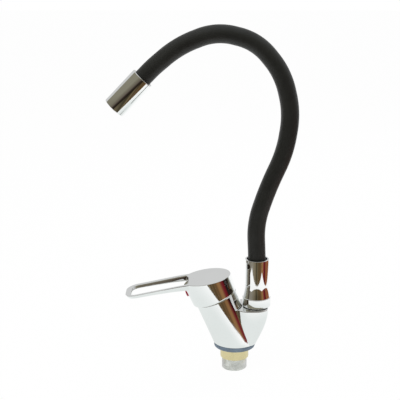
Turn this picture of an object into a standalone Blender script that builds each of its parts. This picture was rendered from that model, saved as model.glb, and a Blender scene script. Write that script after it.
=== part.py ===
"""Flexible kitchen faucet: a leaning mixer body, a loop handle and a bendable hose spout.

Run it with: blender --background --python part.py
Metres, +Z up. The origin is the middle of the tap hole, on the deck under the gasket.
The spout reaches towards -X, the hose stands behind the handle at +X, and the object is
symmetric about the plane Y = 0 at rest.
"""

from math import acos, asin, cos, pi, radians, sin, sqrt, tan

import bmesh
import bpy
from mathutils import Matrix, Vector

# Clearances and cutters
GAP = 0.0003  # between two pieces that touch on the real object
OVERRUN = 0.002  # how far a cutter runs past the face that it opens
MERGE = 0.00001  # points nearer than this are one point

# Roundness of turned pieces, in sides
LARGE_SIDES = 32
SMALL_SIDES = 24
HOSE_SIDES = 16
CORE_SIDES = 12
HOLE_SIDES = 12
SMALL_HOLE_SIDES = 8

# Inlets in the body's boss, and what goes round them under the deck
INLET_THREAD = 0.0045
INLET_WEB = 0.0015
INLET_THREAD_DEPTH = 0.0085
INLET_OFFSET = INLET_THREAD + INLET_WEB / 2
BOSS_WALL = 0.00085
BOSS_CLEARANCE = 0.0004
BOSS_DROP = 0.002
BOSS_RADIUS = INLET_OFFSET + INLET_THREAD + BOSS_WALL
SHANK_WALL = 0.00285
SHANK_BORE = BOSS_RADIUS + BOSS_CLEARANCE
SHANK_RADIUS = SHANK_BORE + SHANK_WALL
SHANK_DROP = 0.026
SHANK_SCREWED_IN = 0.0079
SHANK_CHAMFER = 0.001
BRASS_COLLAR_WALL = 0.00155
BRASS_COLLAR_RADIUS = SHANK_RADIUS + GAP + BRASS_COLLAR_WALL
BRASS_COLLAR_DROP = 0.013

# Stem, the carrier it stands in, and the radii round them, out to the barrel
STEM_HALF_WIDTH = 0.0035
SLOT_ROOM_FRONT = 0.0051
SLOT_ROOM_BACK = 0.0041
CARRIER_SLOT_FRONT = STEM_HALF_WIDTH + SLOT_ROOM_FRONT
CARRIER_SLOT_BACK = STEM_HALF_WIDTH + SLOT_ROOM_BACK
CARRIER_WALL = 0.0035
CARRIER_RADIUS = CARRIER_SLOT_FRONT + CARRIER_WALL
CARRIER_SHOULDER = 0.0034
CARRIER_FLANGE_RADIUS = CARRIER_RADIUS + CARRIER_SHOULDER
CARRIER_PLAY = 0.0018
HOUSING_BORE = CARRIER_FLANGE_RADIUS + CARRIER_PLAY
HOUSING_WALL = 0.0027
HOUSING_RADIUS = HOUSING_BORE + HOUSING_WALL
CHAMBER_RADIUS = HOUSING_RADIUS + GAP
CHAMBER_WALL = 0.0021
BARREL_RADIUS = CHAMBER_RADIUS + CHAMBER_WALL

# Gasket under the body
GASKET_INSET = 0.0002
GASKET_RADIUS = BARREL_RADIUS - GASKET_INSET
GASKET_THICKNESS = 0.0048

# Body: a leaning barrel, and behind it a block that swells from the foot to its flat top
BLOCK_TOP = 0.047
BLOCK_FRONT = 0.0004
BLOCK_BACK = 0.0366
BLOCK_HALF_WIDTH = 0.0203
BLOCK_FOOT_FRONT = 0.005
BLOCK_FOOT_BACK = 0.0238
BLOCK_FOOT_HALF_WIDTH = 0.0165
BLOCK_ROUND_POWER = 2
BLOCK_SQUARENESS_SHARE = 1.2
BLOCK_EDGE = 0.0006
BLOCK_RINGS = 8
BARREL_LEAN = radians(22.5)
BARREL_FOOT = 0.0069
BARREL_FOOT_TAPER = 0.002
BARREL_FLARE = 0.0008
BARREL_FLARE_FOOT = 0.014
BARREL_TOP_RADIUS = BARREL_RADIUS + BARREL_FLARE
BARREL_EDGE = 0.0024
BARREL_EDGE_DROP_SHARE = 0.9

# Ports in the cartridge's floor: back and side are from the barrel's axis
INLET_PORT = 0.0028
INLET_PORT_BACK = 0.0033
INLET_PORT_SIDE = 0.006
OUTLET_PORT = 0.0024
OUTLET_PORT_BACK = 0.009
OUTLET_PORT_DEPTH = 0.001

# Cartridge, stacked up the barrel's axis from the chamber's floor
CHAMBER_FLOOR = 0.020
SEAL_THICKNESS = 0.0015
HOUSING_FLOOR = 0.0025
FIXED_DISC_THICKNESS = 0.003
MOVING_DISC_THICKNESS = 0.003
MOVING_DISC_ROOM = 0.0043
MOVING_DISC_RADIUS = HOUSING_BORE - MOVING_DISC_ROOM
POCKET_DEPTH = 0.0016
POCKET_BACK = 0.0068
POCKET_LENGTH = 0.0044
POCKET_HALF_WIDTH = 0.005
COUPLER_THICKNESS = 0.0034
COUPLER_INSET = 0.0005
COUPLER_RADIUS = MOVING_DISC_RADIUS - COUPLER_INSET
CARRIER_FLANGE = 0.003
SEAL_LOW = CHAMBER_FLOOR + GAP
HOUSING_LOW = SEAL_LOW + SEAL_THICKNESS + GAP
FIXED_DISC_LOW = HOUSING_LOW + HOUSING_FLOOR + GAP
MOVING_DISC_LOW = FIXED_DISC_LOW + FIXED_DISC_THICKNESS + GAP
COUPLER_LOW = MOVING_DISC_LOW + MOVING_DISC_THICKNESS + GAP
CARRIER_LOW = COUPLER_LOW + COUPLER_THICKNESS + GAP

# Handle pivot in the carrier, and the heights up the barrel's axis that follow it
PIVOT_RISE = 0.0078
PIVOT_HEIGHT = CARRIER_LOW + PIVOT_RISE
CARRIER_TOP_RISE = 0.0035
CARRIER_TOP = PIVOT_HEIGHT + CARRIER_TOP_RISE
NECK_THICKNESS = 0.0035
NECK_DROP = 0.001
HOUSING_TOP = PIVOT_HEIGHT - NECK_DROP
BARREL_TOP_RISE = 0.0087
BARREL_TOP = PIVOT_HEIGHT + BARREL_TOP_RISE
NUT_SINK = 0.0022
NUT_TOP = BARREL_TOP - NUT_SINK
NUT_PLAY = 0.0014
NUT_BORE = CARRIER_RADIUS + NUT_PLAY

# Pin, and the stem's foot
PIN_RADIUS = 0.0019
PIN_INSET = 0.0011
PIN_HALF_LENGTH = CARRIER_RADIUS - PIN_INSET
STEM_FOOT_DROP = 0.0036
STEM_NECK = 0.002
STEM_BALL = 0.0026
STEM_BALL_RISE = 0.0028
STEM_BALL_DROP = PIVOT_HEIGHT - COUPLER_LOW - STEM_BALL_RISE

# Dome over the cartridge, a shell about the pivot
DOME_SPREAD = 0.0002
DOME_RADIUS = BARREL_RADIUS + DOME_SPREAD
DOME_WALL = 0.001
DOME_MOUTH = 0.0136
DOME_SPIGOT_WALL = 0.0012
DOME_STEPS = 5

# Handle: a round skirt with a flat top, and a loop lever that droops a little from it
CAVITY_CLEARANCE = 0.002
HANDLE_CAVITY = DOME_RADIUS + CAVITY_CLEARANCE
HUB_LENGTH = 0.0121
HANDLE_TOP_RISE = HANDLE_CAVITY + HUB_LENGTH
HANDLE_TOP = PIVOT_HEIGHT + HANDLE_TOP_RISE
HANDLE_TOP_TILT = radians(12.7)
SKIRT_RIM_RISE = 0.012
SKIRT_RIM = PIVOT_HEIGHT + SKIRT_RIM_RISE
SKIRT_OVERHANG = 0.0025
SKIRT_RIM_RADIUS = BARREL_RADIUS + SKIRT_OVERHANG
SKIRT_FORWARD = 0.00135
SKIRT_FLARE_SHARE = 0.065
SKIRT_EDGE = 0.0017
HUB_RADIUS = 0.0088
HOLLOW_RADIUS = 0.0175
HOLLOW_SINK = 0.0082
HOLLOW_TOP = HANDLE_TOP - HOLLOW_SINK
STEM_SINK = 0.007
STEM_TOP = HANDLE_TOP - STEM_SINK
SCREW_SINK = 0.0091
SCREW_HEIGHT = HANDLE_TOP - SCREW_SINK
SCREW_RADIUS = 0.002
SCREW_LENGTH = 0.008
PLUG_RADIUS = 0.004
PLUG_SEAT_DEPTH = 0.005
PLUG_PROUD = 0.0018
LEVER_REACH = 0.092
LEVER_HALF_WIDTH = 0.0195
LEVER_TIP_CORNER = 0.013
LEVER_DROOP = radians(2.2)
LEVER_DROOP_START = 0.032
LEVER_TIP_THICKNESS = 0.0038
LEVER_MID_THICKNESS = 0.0043
LEVER_ROOT_THICKNESS = 0.0065
SLOT_MARGIN = 0.0065
SLOT_END = LEVER_REACH - SLOT_MARGIN
SLOT_ROOT = 0.0215
SLOT_HALF_WIDTH = 0.0143
SLOT_CORNER = 0.006
SLOT_DEPTH = 0.0075

# Hose: a sleeve over an inner tube, cut into stretches that turn on ball and cup ends
HOSE_RADIUS = 0.0096
SLEEVE_WALL = 0.0017
SLEEVE_BORE = HOSE_RADIUS - SLEEVE_WALL
CORE_WALL = 0.0026
CORE_BORE = SLEEVE_BORE - GAP - CORE_WALL
HOSE_STANDS = 0.0244
HOSE_FIRST_CURVE = 0.0286
HOSE_STRETCH = 0.0418
HOSE_LAST_CURVE = 0.014
BEND_STRAIGHT = 0.007
HOSE_TURNS = [radians(turn) for turn in (-3, 21, 6, -16, -22, -26, -36, -35, -19, -6)]
BALL_DEPTH = 0.0052
CUP_RIM = 0.0046
CUP_GAP = 0.0004
CORE_START = 0.0087
CORE_END = 0.0005
CURVE_RINGS = 2

# Hose ends: ferrules, and the threaded tail
FERRULE_WALL = 0.001
FERRULE_LENGTH = 0.014
TAIL_THREAD_LENGTH = 0.013
TAIL_FLANGE = 0.002
TAIL_BARB = CORE_BORE - GAP
TAIL_BARB_LENGTH = 0.016
TAIL_WALL = 0.0015
TAIL_BORE = TAIL_BARB - TAIL_WALL

# Spout collar: heights are over the block's top, depths are below it
SPOUT_INSET = 0.0129
SPOUT_X = BLOCK_BACK - SPOUT_INSET
TUBE_BORE = HOSE_RADIUS + GAP + FERRULE_WALL + GAP
TUBE_WALL = 0.00185
TUBE_RADIUS = TUBE_BORE + TUBE_WALL
TUBE_EDGE = 0.0005
TUBE_RISE = 0.0543
TUBE_TOP = BLOCK_TOP + TUBE_RISE
TUBE_FLOOR_RISE = 0.011
TUBE_FLOOR = BLOCK_TOP + TUBE_FLOOR_RISE
FLANGE_SPREAD = 0.00245
FLANGE_RADIUS = TUBE_RADIUS + FLANGE_SPREAD
FLANGE_RISE = 0.0105
FLANGE_TOP = BLOCK_TOP + FLANGE_RISE
FLARE_SPREAD = FLANGE_SPREAD - TUBE_EDGE
FLARE_RADIUS = TUBE_RADIUS + FLARE_SPREAD
FLARE_LENGTH = 0.0135
FLARE_TOP = FLANGE_TOP + FLARE_LENGTH
FLARE_MID_SHARES = (0.28, 0.63)
FLARE_MID_RADIUS = TUBE_RADIUS + FLARE_SPREAD * FLARE_MID_SHARES[0]
FLARE_MID = FLANGE_TOP + FLARE_LENGTH * FLARE_MID_SHARES[1]
SPIGOT_RADIUS = 0.008
SPIGOT_WALL = 0.0028
SPIGOT_BORE = SPIGOT_RADIUS - SPIGOT_WALL
THRUST_RING_INSET = 0.0031
THRUST_RING_RADIUS = FLANGE_RADIUS - THRUST_RING_INSET
THRUST_RING_THICKNESS = 0.0008
THRUST_RING_PROUD = 0.0003
CLIP_DEPTH = 0.0045
CLIP_HEIGHT = BLOCK_TOP - CLIP_DEPTH
CLIP_THICKNESS = 0.001
CLIP_SEAT_IN_BODY = 0.0013
CLIP_SEAT_IN_SPIGOT = 0.001
CLIP_OPENING = 0.006
RING_GROOVE_DEPTH = 0.0014
RING_GROOVE_RADIUS = SPIGOT_RADIUS - RING_GROOVE_DEPTH
RING_GROOVE_WIDTH = 0.0026
RING_THICKNESS = 0.0012
RING_UNDER_CLIP = 0.0052
RING_SPACING = 0.0045
RING_UPPER = CLIP_HEIGHT - RING_UNDER_CLIP
RING_LOWER = RING_UPPER - RING_SPACING
SPIGOT_TIP = 0.0033
SPIGOT_END = RING_LOWER - SPIGOT_TIP
SOCKET_ROOM = 0.0025
SOCKET_FLOOR = SPIGOT_END - SOCKET_ROOM
TAIL_FLANGE_SPREAD = 0.0028
TAIL_FLANGE_RADIUS = SPIGOT_BORE + TAIL_FLANGE_SPREAD

# Outlet: chrome sleeve with the aerator in it, measured from its upper end
OUTLET_BORE = HOSE_RADIUS + GAP + FERRULE_WALL + GAP
OUTLET_WALL = 0.0013
OUTLET_RADIUS = OUTLET_BORE + OUTLET_WALL
OUTLET_EDGE = 0.0006
OUTLET_LIP = 0.002
OUTLET_HOSE_DEPTH = 0.016
ADAPTER_LENGTH = 0.0137
ADAPTER_END = OUTLET_HOSE_DEPTH + GAP + ADAPTER_LENGTH
WASHER_THICKNESS = 0.002
WASHER_BORE = 0.007
WASHER_LOW = ADAPTER_END + GAP
WASHER_HIGH = WASHER_LOW + WASHER_THICKNESS
INSERT_LOW = WASHER_HIGH + GAP
INSERT_LENGTH = 0.0104
INSERT_HIGH = INSERT_LOW + INSERT_LENGTH
INSERT_RECESS = 0.0007
OUTLET_LENGTH = INSERT_HIGH + INSERT_RECESS
INSERT_HOLE = 0.0016
INSERT_HOLE_CIRCLE = 0.006
INSERT_HOLE_COUNT = 6

# Colour, roughness and metallic value of each finish
FINISHES = {
    "chrome": ((0.86, 0.87, 0.88), 0.06, 1.0),
    "brass": ((0.80, 0.62, 0.32), 0.3, 1.0),
    "steel": ((0.62, 0.62, 0.63), 0.3, 1.0),
    "dark_silicone": ((0.035, 0.036, 0.04), 0.55, 0.0),
    "inner_tube": ((0.75, 0.74, 0.70), 0.5, 0.0),
    "blue_grey_gasket": ((0.16, 0.21, 0.26), 0.7, 0.0),
    "black_rubber": ((0.02, 0.02, 0.02), 0.7, 0.0),
    "white_plastic": ((0.82, 0.82, 0.80), 0.45, 0.0),
    "ceramic": ((0.88, 0.87, 0.84), 0.2, 0.0),
    "index_red": ((0.50, 0.02, 0.05), 0.25, 0.0),
}


def clear_scene():
    """Remove everything that the file opened with."""
    for obj in list(bpy.data.objects):
        bpy.data.objects.remove(obj, do_unlink=True)


def new_collection(name):
    collection = bpy.data.collections.new(name)
    bpy.context.scene.collection.children.link(collection)
    return collection


clear_scene()
PARTS = new_collection("flexible_kitchen_faucet")
CUTTERS = new_collection("cutters")


class Axis:
    """An empty that carries a group of pieces, with its place in the world."""

    def __init__(self, name, world, parent=None):
        self.world = world
        self.empty = bpy.data.objects.new(name, None)
        self.empty.empty_display_size = BARREL_RADIUS
        PARTS.objects.link(self.empty)
        if parent:
            self.empty.parent = parent.empty
            self.empty.matrix_basis = parent.world.inverted() @ world
        else:
            self.empty.matrix_basis = world

    def local(self, world):
        """A world frame, as seen from this axis."""
        return self.world.inverted() @ world


def moved(x=0.0, y=0.0, z=0.0):
    return Matrix.Translation((x, y, z))


def tilted(angle):
    """A turn about Y: a positive angle takes +Z towards +X."""
    return Matrix.Rotation(angle, 4, "Y")


# Frames of the groups
WORLD = Matrix.Identity(4)
BARREL = moved(z=BARREL_FOOT) @ tilted(-BARREL_LEAN)
PIVOT = BARREL @ moved(z=PIVOT_HEIGHT)
HANDLE_PLANE = PIVOT @ moved(z=HANDLE_TOP_RISE) @ tilted(HANDLE_TOP_TILT)
SPOUT = moved(x=SPOUT_X)


def material_for(obj, finish):
    """Give the piece its own material in one of the finishes."""
    colour, roughness, metallic = FINISHES[finish]
    material = bpy.data.materials.new(f"{obj.name}_{finish}")
    material.diffuse_color = (*colour, 1)
    material.use_nodes = True
    shader = material.node_tree.nodes["Principled BSDF"]
    shader.inputs["Base Color"].default_value = (*colour, 1)
    shader.inputs["Roughness"].default_value = roughness
    shader.inputs["Metallic"].default_value = metallic
    obj.data.materials.append(material)


def shade(mesh):
    """Smooth round faces, and keep true corners sharp."""
    mesh.shade_smooth()
    mesh.set_sharp_from_angle(angle=radians(35))


def realised(obj):
    """The mesh that an object shows with its modifiers, in place of the object."""
    bpy.context.view_layer.update()
    graph = bpy.context.evaluated_depsgraph_get()
    mesh = bpy.data.meshes.new_from_object(obj.evaluated_get(graph))
    name = obj.name
    data = obj.data
    bpy.data.objects.remove(obj)
    (bpy.data.curves if isinstance(data, bpy.types.Curve) else bpy.data.meshes).remove(data)
    mesh.name = name
    return mesh


def turned(name, outline, sides=LARGE_SIDES, bored=False):
    """Turn an outline of (radius, height) pairs about Z.

    The outline starts at the top and runs down the outer side. A bored one closes on itself,
    and a solid one starts and ends on the axis.
    """
    count = len(outline)
    ends = count if bored else count - 1
    mesh = bpy.data.meshes.new(name)
    edges = [(i, (i + 1) % count) for i in range(ends)]
    mesh.from_pydata([(radius, 0, height) for radius, height in outline], edges, [])
    obj = bpy.data.objects.new(name, mesh)
    CUTTERS.objects.link(obj)
    screw = obj.modifiers.new("turn", "SCREW")
    screw.steps = sides
    screw.render_steps = sides
    screw.use_merge_vertices = True
    screw.merge_threshold = MERGE
    return realised(obj)


def cylinder(name, radius, low, high, sides=LARGE_SIDES):
    return turned(name, [(0, high), (radius, high), (radius, low), (0, low)], sides)


def ring(name, bore, radius, low, high, sides=LARGE_SIDES):
    outline = [(bore, high), (radius, high), (radius, low), (bore, low)]
    return turned(name, outline, sides, bored=True)


def torus(name, middle, height, thickness, sides):
    """A ring of round section about Z."""
    steps = 6
    half = thickness / 2
    angles = [pi / 2 - 2 * pi * i / steps for i in range(steps)]
    outline = [(middle + half * cos(a), height + half * sin(a)) for a in angles]
    return turned(name, outline, sides, bored=True)


def box(name, low, high):
    """A box between two corners."""
    form = bmesh.new()
    bmesh.ops.create_cube(form, size=1)
    size = Vector(high) - Vector(low)
    middle = (Vector(high) + Vector(low)) / 2
    bmesh.ops.scale(form, vec=size, verts=form.verts)
    bmesh.ops.translate(form, vec=middle, verts=form.verts)
    mesh = bpy.data.meshes.new(name)
    form.to_mesh(mesh)
    form.free()
    return mesh


def rod(name, radius, start, end, sides=HOLE_SIDES):
    """A cylinder between two points."""
    line = Vector(end) - Vector(start)
    mesh = cylinder(name, radius, 0, line.length, sides)
    mesh.transform(Matrix.Translation(start) @ line.to_track_quat("Z", "Y").to_matrix().to_4x4())
    return mesh


def rounded_outline(corners, steps=5):
    """Points of a flat outline; each corner is (x, y, radius of its rounding)."""
    points = []
    for i, (x, y, radius) in enumerate(corners):
        here = Vector((x, y))
        before = (Vector(corners[i - 1][:2]) - here).normalized()
        after = (Vector(corners[(i + 1) % len(corners)][:2]) - here).normalized()
        if not radius:
            points.append(here)
            continue
        half = before.angle(after) / 2
        reach = radius / sin(half)
        centre = here + (before + after).normalized() * reach
        first = (here + before * reach * cos(half) - centre).normalized()
        last = (here + after * reach * cos(half) - centre).normalized()
        for k in range(steps + 1):
            points.append(centre + radius * first.slerp(last, k / steps))
    return points


def slab(name, outline, low, high):
    """A flat outline with thickness, from a filled 2D curve."""
    curve = bpy.data.curves.new(name, "CURVE")
    curve.dimensions = "2D"
    curve.fill_mode = "BOTH"
    curve.extrude = (high - low) / 2
    spline = curve.splines.new("POLY")
    spline.points.add(len(outline) - 1)
    for point, (x, y) in zip(spline.points, outline):
        point.co = (x, y, 0, 1)
    spline.use_cyclic_u = True
    obj = bpy.data.objects.new(name, curve)
    CUTTERS.objects.link(obj)
    mesh = realised(obj)
    form = bmesh.new()
    form.from_mesh(mesh)
    bmesh.ops.remove_doubles(form, verts=form.verts, dist=MERGE)
    bmesh.ops.recalc_face_normals(form, faces=form.faces)
    bmesh.ops.translate(form, vec=(0, 0, (high + low) / 2), verts=form.verts)
    form.to_mesh(mesh)
    form.free()
    return mesh


def placed(mesh, frame):
    """Move a mesh into a frame."""
    mesh.transform(frame)
    return mesh


def piece(mesh, axis, finish):
    """A named sub-part that rides on an axis, with its mesh in that axis's frame."""
    shade(mesh)
    obj = bpy.data.objects.new(mesh.name, mesh)
    obj.parent = axis.empty
    PARTS.objects.link(obj)
    material_for(obj, finish)
    return obj


def boolean(obj, mesh, operation):
    """Cut or join a helper shape, given in the same frame as the piece."""
    helper = bpy.data.objects.new(mesh.name, mesh)
    helper.parent = obj.parent
    helper.hide_render = True
    helper.display_type = "WIRE"
    CUTTERS.objects.link(helper)
    modifier = obj.modifiers.new(mesh.name, "BOOLEAN")
    modifier.operation = operation
    modifier.object = helper


def cut(obj, *meshes):
    for mesh in meshes:
        boolean(obj, mesh, "DIFFERENCE")


def join(obj, *meshes):
    for mesh in meshes:
        boolean(obj, mesh, "UNION")


def barrel_point(back, side, height):
    """A world point from its place in the barrel's frame."""
    return BARREL @ Vector((back, side, height))


def superellipse(middle_x, half_x, half_y, power, z, count):
    """A closed ring that goes from a circle, at power 2, towards a square."""
    points = []
    for i in range(count):
        a = 2 * pi * i / count
        x = abs(cos(a)) ** (2 / power) * (1 if cos(a) > 0 else -1)
        y = abs(sin(a)) ** (2 / power) * (1 if sin(a) > 0 else -1)
        points.append((middle_x + half_x * x, half_y * y, z))
    return points


def loft(name, rings):
    """A solid through rings of equal point count, lowest ring first."""
    count = len(rings[0])
    points = [point for one in rings for point in one]
    faces = [tuple(reversed(range(count)))]
    for k in range(len(rings) - 1):
        for i in range(count):
            j = (i + 1) % count
            faces.append((k * count + i, k * count + j, (k + 1) * count + j, (k + 1) * count + i))
    faces.append(tuple(range((len(rings) - 1) * count, len(rings) * count)))
    mesh = bpy.data.meshes.new(name)
    mesh.from_pydata(points, [], faces)
    return mesh


# Body heights that several pieces share
BODY_BOTTOM = GASKET_THICKNESS + GAP
RECESS_TOP = BODY_BOTTOM + SHANK_SCREWED_IN + GAP
BOSS_FACE = RECESS_TOP - BOSS_DROP


def block_section(share, inset, height):
    """The block's outline at a share of its height, drawn in by an inset."""

    def between(foot, top, rate):
        return foot + (top - foot) * rate

    swell = sin(share * pi / 2)
    front = between(BLOCK_FOOT_FRONT, BLOCK_FRONT, share) + inset
    back = between(BLOCK_FOOT_BACK, BLOCK_BACK, swell) - inset
    half_width = between(BLOCK_FOOT_HALF_WIDTH, BLOCK_HALF_WIDTH, swell) - inset
    power = BLOCK_ROUND_POWER + BLOCK_SQUARENESS_SHARE * share
    middle = (front + back) / 2
    return superellipse(middle, (back - front) / 2, half_width, power, height, LARGE_SIDES)


def rear_block():
    """The block behind the barrel, round at its foot and squarish at its flat top."""
    rings = [block_section(0, 0, BODY_BOTTOM - OVERRUN)]
    for k in range(BLOCK_RINGS + 1):
        share = k / BLOCK_RINGS
        rings.append(
            block_section(share, 0, BODY_BOTTOM + (BLOCK_TOP - BLOCK_EDGE - BODY_BOTTOM) * share)
        )
    rings.append(block_section(1, BLOCK_EDGE, BLOCK_TOP))
    return loft("body_casting", rings)


def barrel_form():
    """The leaning barrel, rounded at its upper end and cut level with the deck later."""
    steps = 3
    first = asin(BARREL_EDGE_DROP_SHARE)
    middle = BARREL_TOP - BARREL_EDGE * BARREL_EDGE_DROP_SHARE
    outline = [(0, BARREL_TOP)]
    for k in range(steps + 1):
        angle = (1 - k / steps) * first
        radius = BARREL_TOP_RADIUS - BARREL_EDGE + BARREL_EDGE * cos(angle)
        outline.append((radius, middle + BARREL_EDGE * sin(angle)))
    outline.append((BARREL_RADIUS, BARREL_FLARE_FOOT))
    outline.append((BARREL_RADIUS, 0))
    outline.append((BARREL_RADIUS - BARREL_FOOT_TAPER, -BARREL_RADIUS))
    outline.append((0, -BARREL_RADIUS))
    return placed(turned("barrel_form", outline), BARREL)


def recess_cutter():
    """The threaded recess for the shank, round the boss that the inlets open in."""
    radius = SHANK_RADIUS + GAP
    low = BODY_BOTTOM - OVERRUN
    outline = [
        (0, BOSS_FACE),
        (BOSS_RADIUS, BOSS_FACE),
        (BOSS_RADIUS, RECESS_TOP),
        (radius, RECESS_TOP),
        (radius, low),
        (0, low),
    ]
    return turned("recess_cutter", outline)


def socket_cutter():
    """The socket that the spout turns in, with the seats of its clip and thrust ring."""
    bore = SPIGOT_RADIUS + GAP
    clip_low = CLIP_HEIGHT - CLIP_THICKNESS / 2 - GAP
    clip_high = CLIP_HEIGHT + CLIP_THICKNESS / 2 + GAP
    thrust_floor = BLOCK_TOP + THRUST_RING_PROUD - THRUST_RING_THICKNESS - GAP
    outline = [
        (0, BLOCK_TOP + OVERRUN),
        (THRUST_RING_RADIUS + GAP, BLOCK_TOP + OVERRUN),
        (THRUST_RING_RADIUS + GAP, thrust_floor),
        (bore, thrust_floor),
        (bore, clip_high),
        (bore + CLIP_SEAT_IN_BODY - GAP, clip_high),
        (bore + CLIP_SEAT_IN_BODY - GAP, clip_low),
        (bore, clip_low),
        (bore, SOCKET_FLOOR),
        (0, SOCKET_FLOOR),
    ]
    return placed(turned("socket_cutter", outline), SPOUT)


def inlet_cutters(side):
    """One supply inlet: its thread in the boss, and the passage to the cartridge floor."""
    y = side * INLET_OFFSET
    thread_top = BOSS_FACE + INLET_THREAD_DEPTH
    port = (INLET_PORT_BACK, side * INLET_PORT_SIDE)
    return [
        rod("inlet_thread", INLET_THREAD, (0, y, BOSS_FACE - OVERRUN), (0, y, thread_top)),
        rod(
            "inlet_passage",
            INLET_PORT,
            (0, y, thread_top - OVERRUN / 2),
            barrel_point(*port, CHAMBER_FLOOR + INLET_PORT),
        ),
    ]


def outlet_cutters():
    """The passage from the cartridge floor to the spout's socket."""
    foot = CHAMBER_FLOOR - OUTLET_PORT_DEPTH
    port = barrel_point(OUTLET_PORT_BACK, 0, foot)
    mouth_height = (SOCKET_FLOOR + SPIGOT_END) / 2
    mouth = (SPOUT_X - SPIGOT_RADIUS / 2, 0, mouth_height)
    above = barrel_point(OUTLET_PORT_BACK, 0, CHAMBER_FLOOR + OVERRUN)
    return [
        rod("outlet_port", OUTLET_PORT, port, above),
        rod("outlet_passage", OUTLET_PORT, port, mouth),
    ]


def make_body(base):
    body = piece(rear_block(), base, "chrome")
    join(body, barrel_form())
    reach = 4 * BARREL_RADIUS
    below = box("deck_cutter", (-reach, -reach, -reach), (reach, reach, BODY_BOTTOM))
    chamber = cylinder("chamber_cutter", CHAMBER_RADIUS, CHAMBER_FLOOR, BARREL_TOP + OVERRUN)
    cut(body, below, placed(chamber, BARREL), recess_cutter(), socket_cutter())
    cut(body, *inlet_cutters(-1), *inlet_cutters(1), *outlet_cutters())


def make_deck_fastening(base):
    gasket_bore = BRASS_COLLAR_RADIUS + GAP
    gasket = ring("deck_gasket", gasket_bore, GASKET_RADIUS, 0, GASKET_THICKNESS)
    piece(gasket, base, "blue_grey_gasket")
    bore = SHANK_RADIUS + GAP
    collar = ring(
        "brass_collar", bore, BRASS_COLLAR_RADIUS, -BRASS_COLLAR_DROP, GASKET_THICKNESS
    )
    piece(collar, base, "brass")
    top = BODY_BOTTOM + SHANK_SCREWED_IN
    outline = [
        (SHANK_BORE, top),
        (SHANK_RADIUS, top),
        (SHANK_RADIUS, SHANK_CHAMFER - SHANK_DROP),
        (SHANK_RADIUS - SHANK_CHAMFER, -SHANK_DROP),
        (SHANK_BORE, -SHANK_DROP),
    ]
    piece(turned("threaded_shank", outline, bored=True), base, "steel")


def port_cutters(low, high):
    """The two inlet ports and the outlet port through a disc of the cartridge."""
    ports = [
        (INLET_PORT_BACK, -INLET_PORT_SIDE, INLET_PORT),
        (INLET_PORT_BACK, INLET_PORT_SIDE, INLET_PORT),
        (OUTLET_PORT_BACK, 0, OUTLET_PORT),
    ]
    return [
        rod("port", radius, (x, y, low - OVERRUN), (x, y, high + OVERRUN))
        for x, y, radius in ports
    ]


def make_cartridge(barrel):
    """The fixed pieces of the cartridge, in the barrel's frame."""
    seal_high = SEAL_LOW + SEAL_THICKNESS
    seal = piece(
        cylinder("cartridge_base_seal", HOUSING_RADIUS, SEAL_LOW, seal_high), barrel, "black_rubber"
    )
    cut(seal, *port_cutters(SEAL_LOW, seal_high))

    neck = CARRIER_RADIUS + GAP
    floor = HOUSING_LOW + HOUSING_FLOOR
    shoulder = HOUSING_TOP - NECK_THICKNESS
    outline = [
        (neck, HOUSING_TOP),
        (HOUSING_RADIUS, HOUSING_TOP),
        (HOUSING_RADIUS, HOUSING_LOW),
        (0, HOUSING_LOW),
    ]
    inner = [(0, floor), (HOUSING_BORE, floor), (HOUSING_BORE, shoulder), (neck, shoulder)]
    housing_outline = [*outline, *inner, (neck, HOUSING_TOP)]
    housing = piece(turned("cartridge_housing", housing_outline), barrel, "white_plastic")
    cut(housing, *port_cutters(HOUSING_LOW, floor))

    disc_high = FIXED_DISC_LOW + FIXED_DISC_THICKNESS
    disc = cylinder("fixed_ceramic_disc", HOUSING_BORE - GAP, FIXED_DISC_LOW, disc_high)
    cut(piece(disc, barrel, "ceramic"), *port_cutters(FIXED_DISC_LOW, disc_high))

    nut_low = HOUSING_TOP + GAP
    piece(ring("cartridge_nut", NUT_BORE, HOUSING_RADIUS, nut_low, NUT_TOP), barrel, "brass")


def make_dome(pivot):
    """The thin dome that closes the body round the stem, on a short spigot in the barrel."""

    def height(radius, at):
        return sqrt(radius**2 - at**2)

    seat = BARREL_TOP + GAP - PIVOT_HEIGHT
    inner = DOME_RADIUS - DOME_WALL
    spigot = HOUSING_RADIUS
    spigot_bore = spigot - DOME_SPIGOT_WALL
    low = NUT_TOP + GAP - PIVOT_HEIGHT

    def arc(radius, first, last):
        """Points on a circle about the pivot, between two radii from the axis."""
        start = asin(first / radius)
        turn = asin(last / radius) - start
        angles = [start + turn * k / DOME_STEPS for k in range(DOME_STEPS + 1)]
        return [(radius * sin(a), radius * cos(a)) for a in angles]

    outer_foot = height(DOME_RADIUS, seat)
    outline = arc(DOME_RADIUS, DOME_MOUTH, outer_foot)
    outline += [(spigot, seat), (spigot, low), (spigot_bore, low)]
    outline += arc(inner, spigot_bore, DOME_MOUTH)
    piece(turned("cartridge_dome", outline, bored=True), pivot, "chrome")


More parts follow.
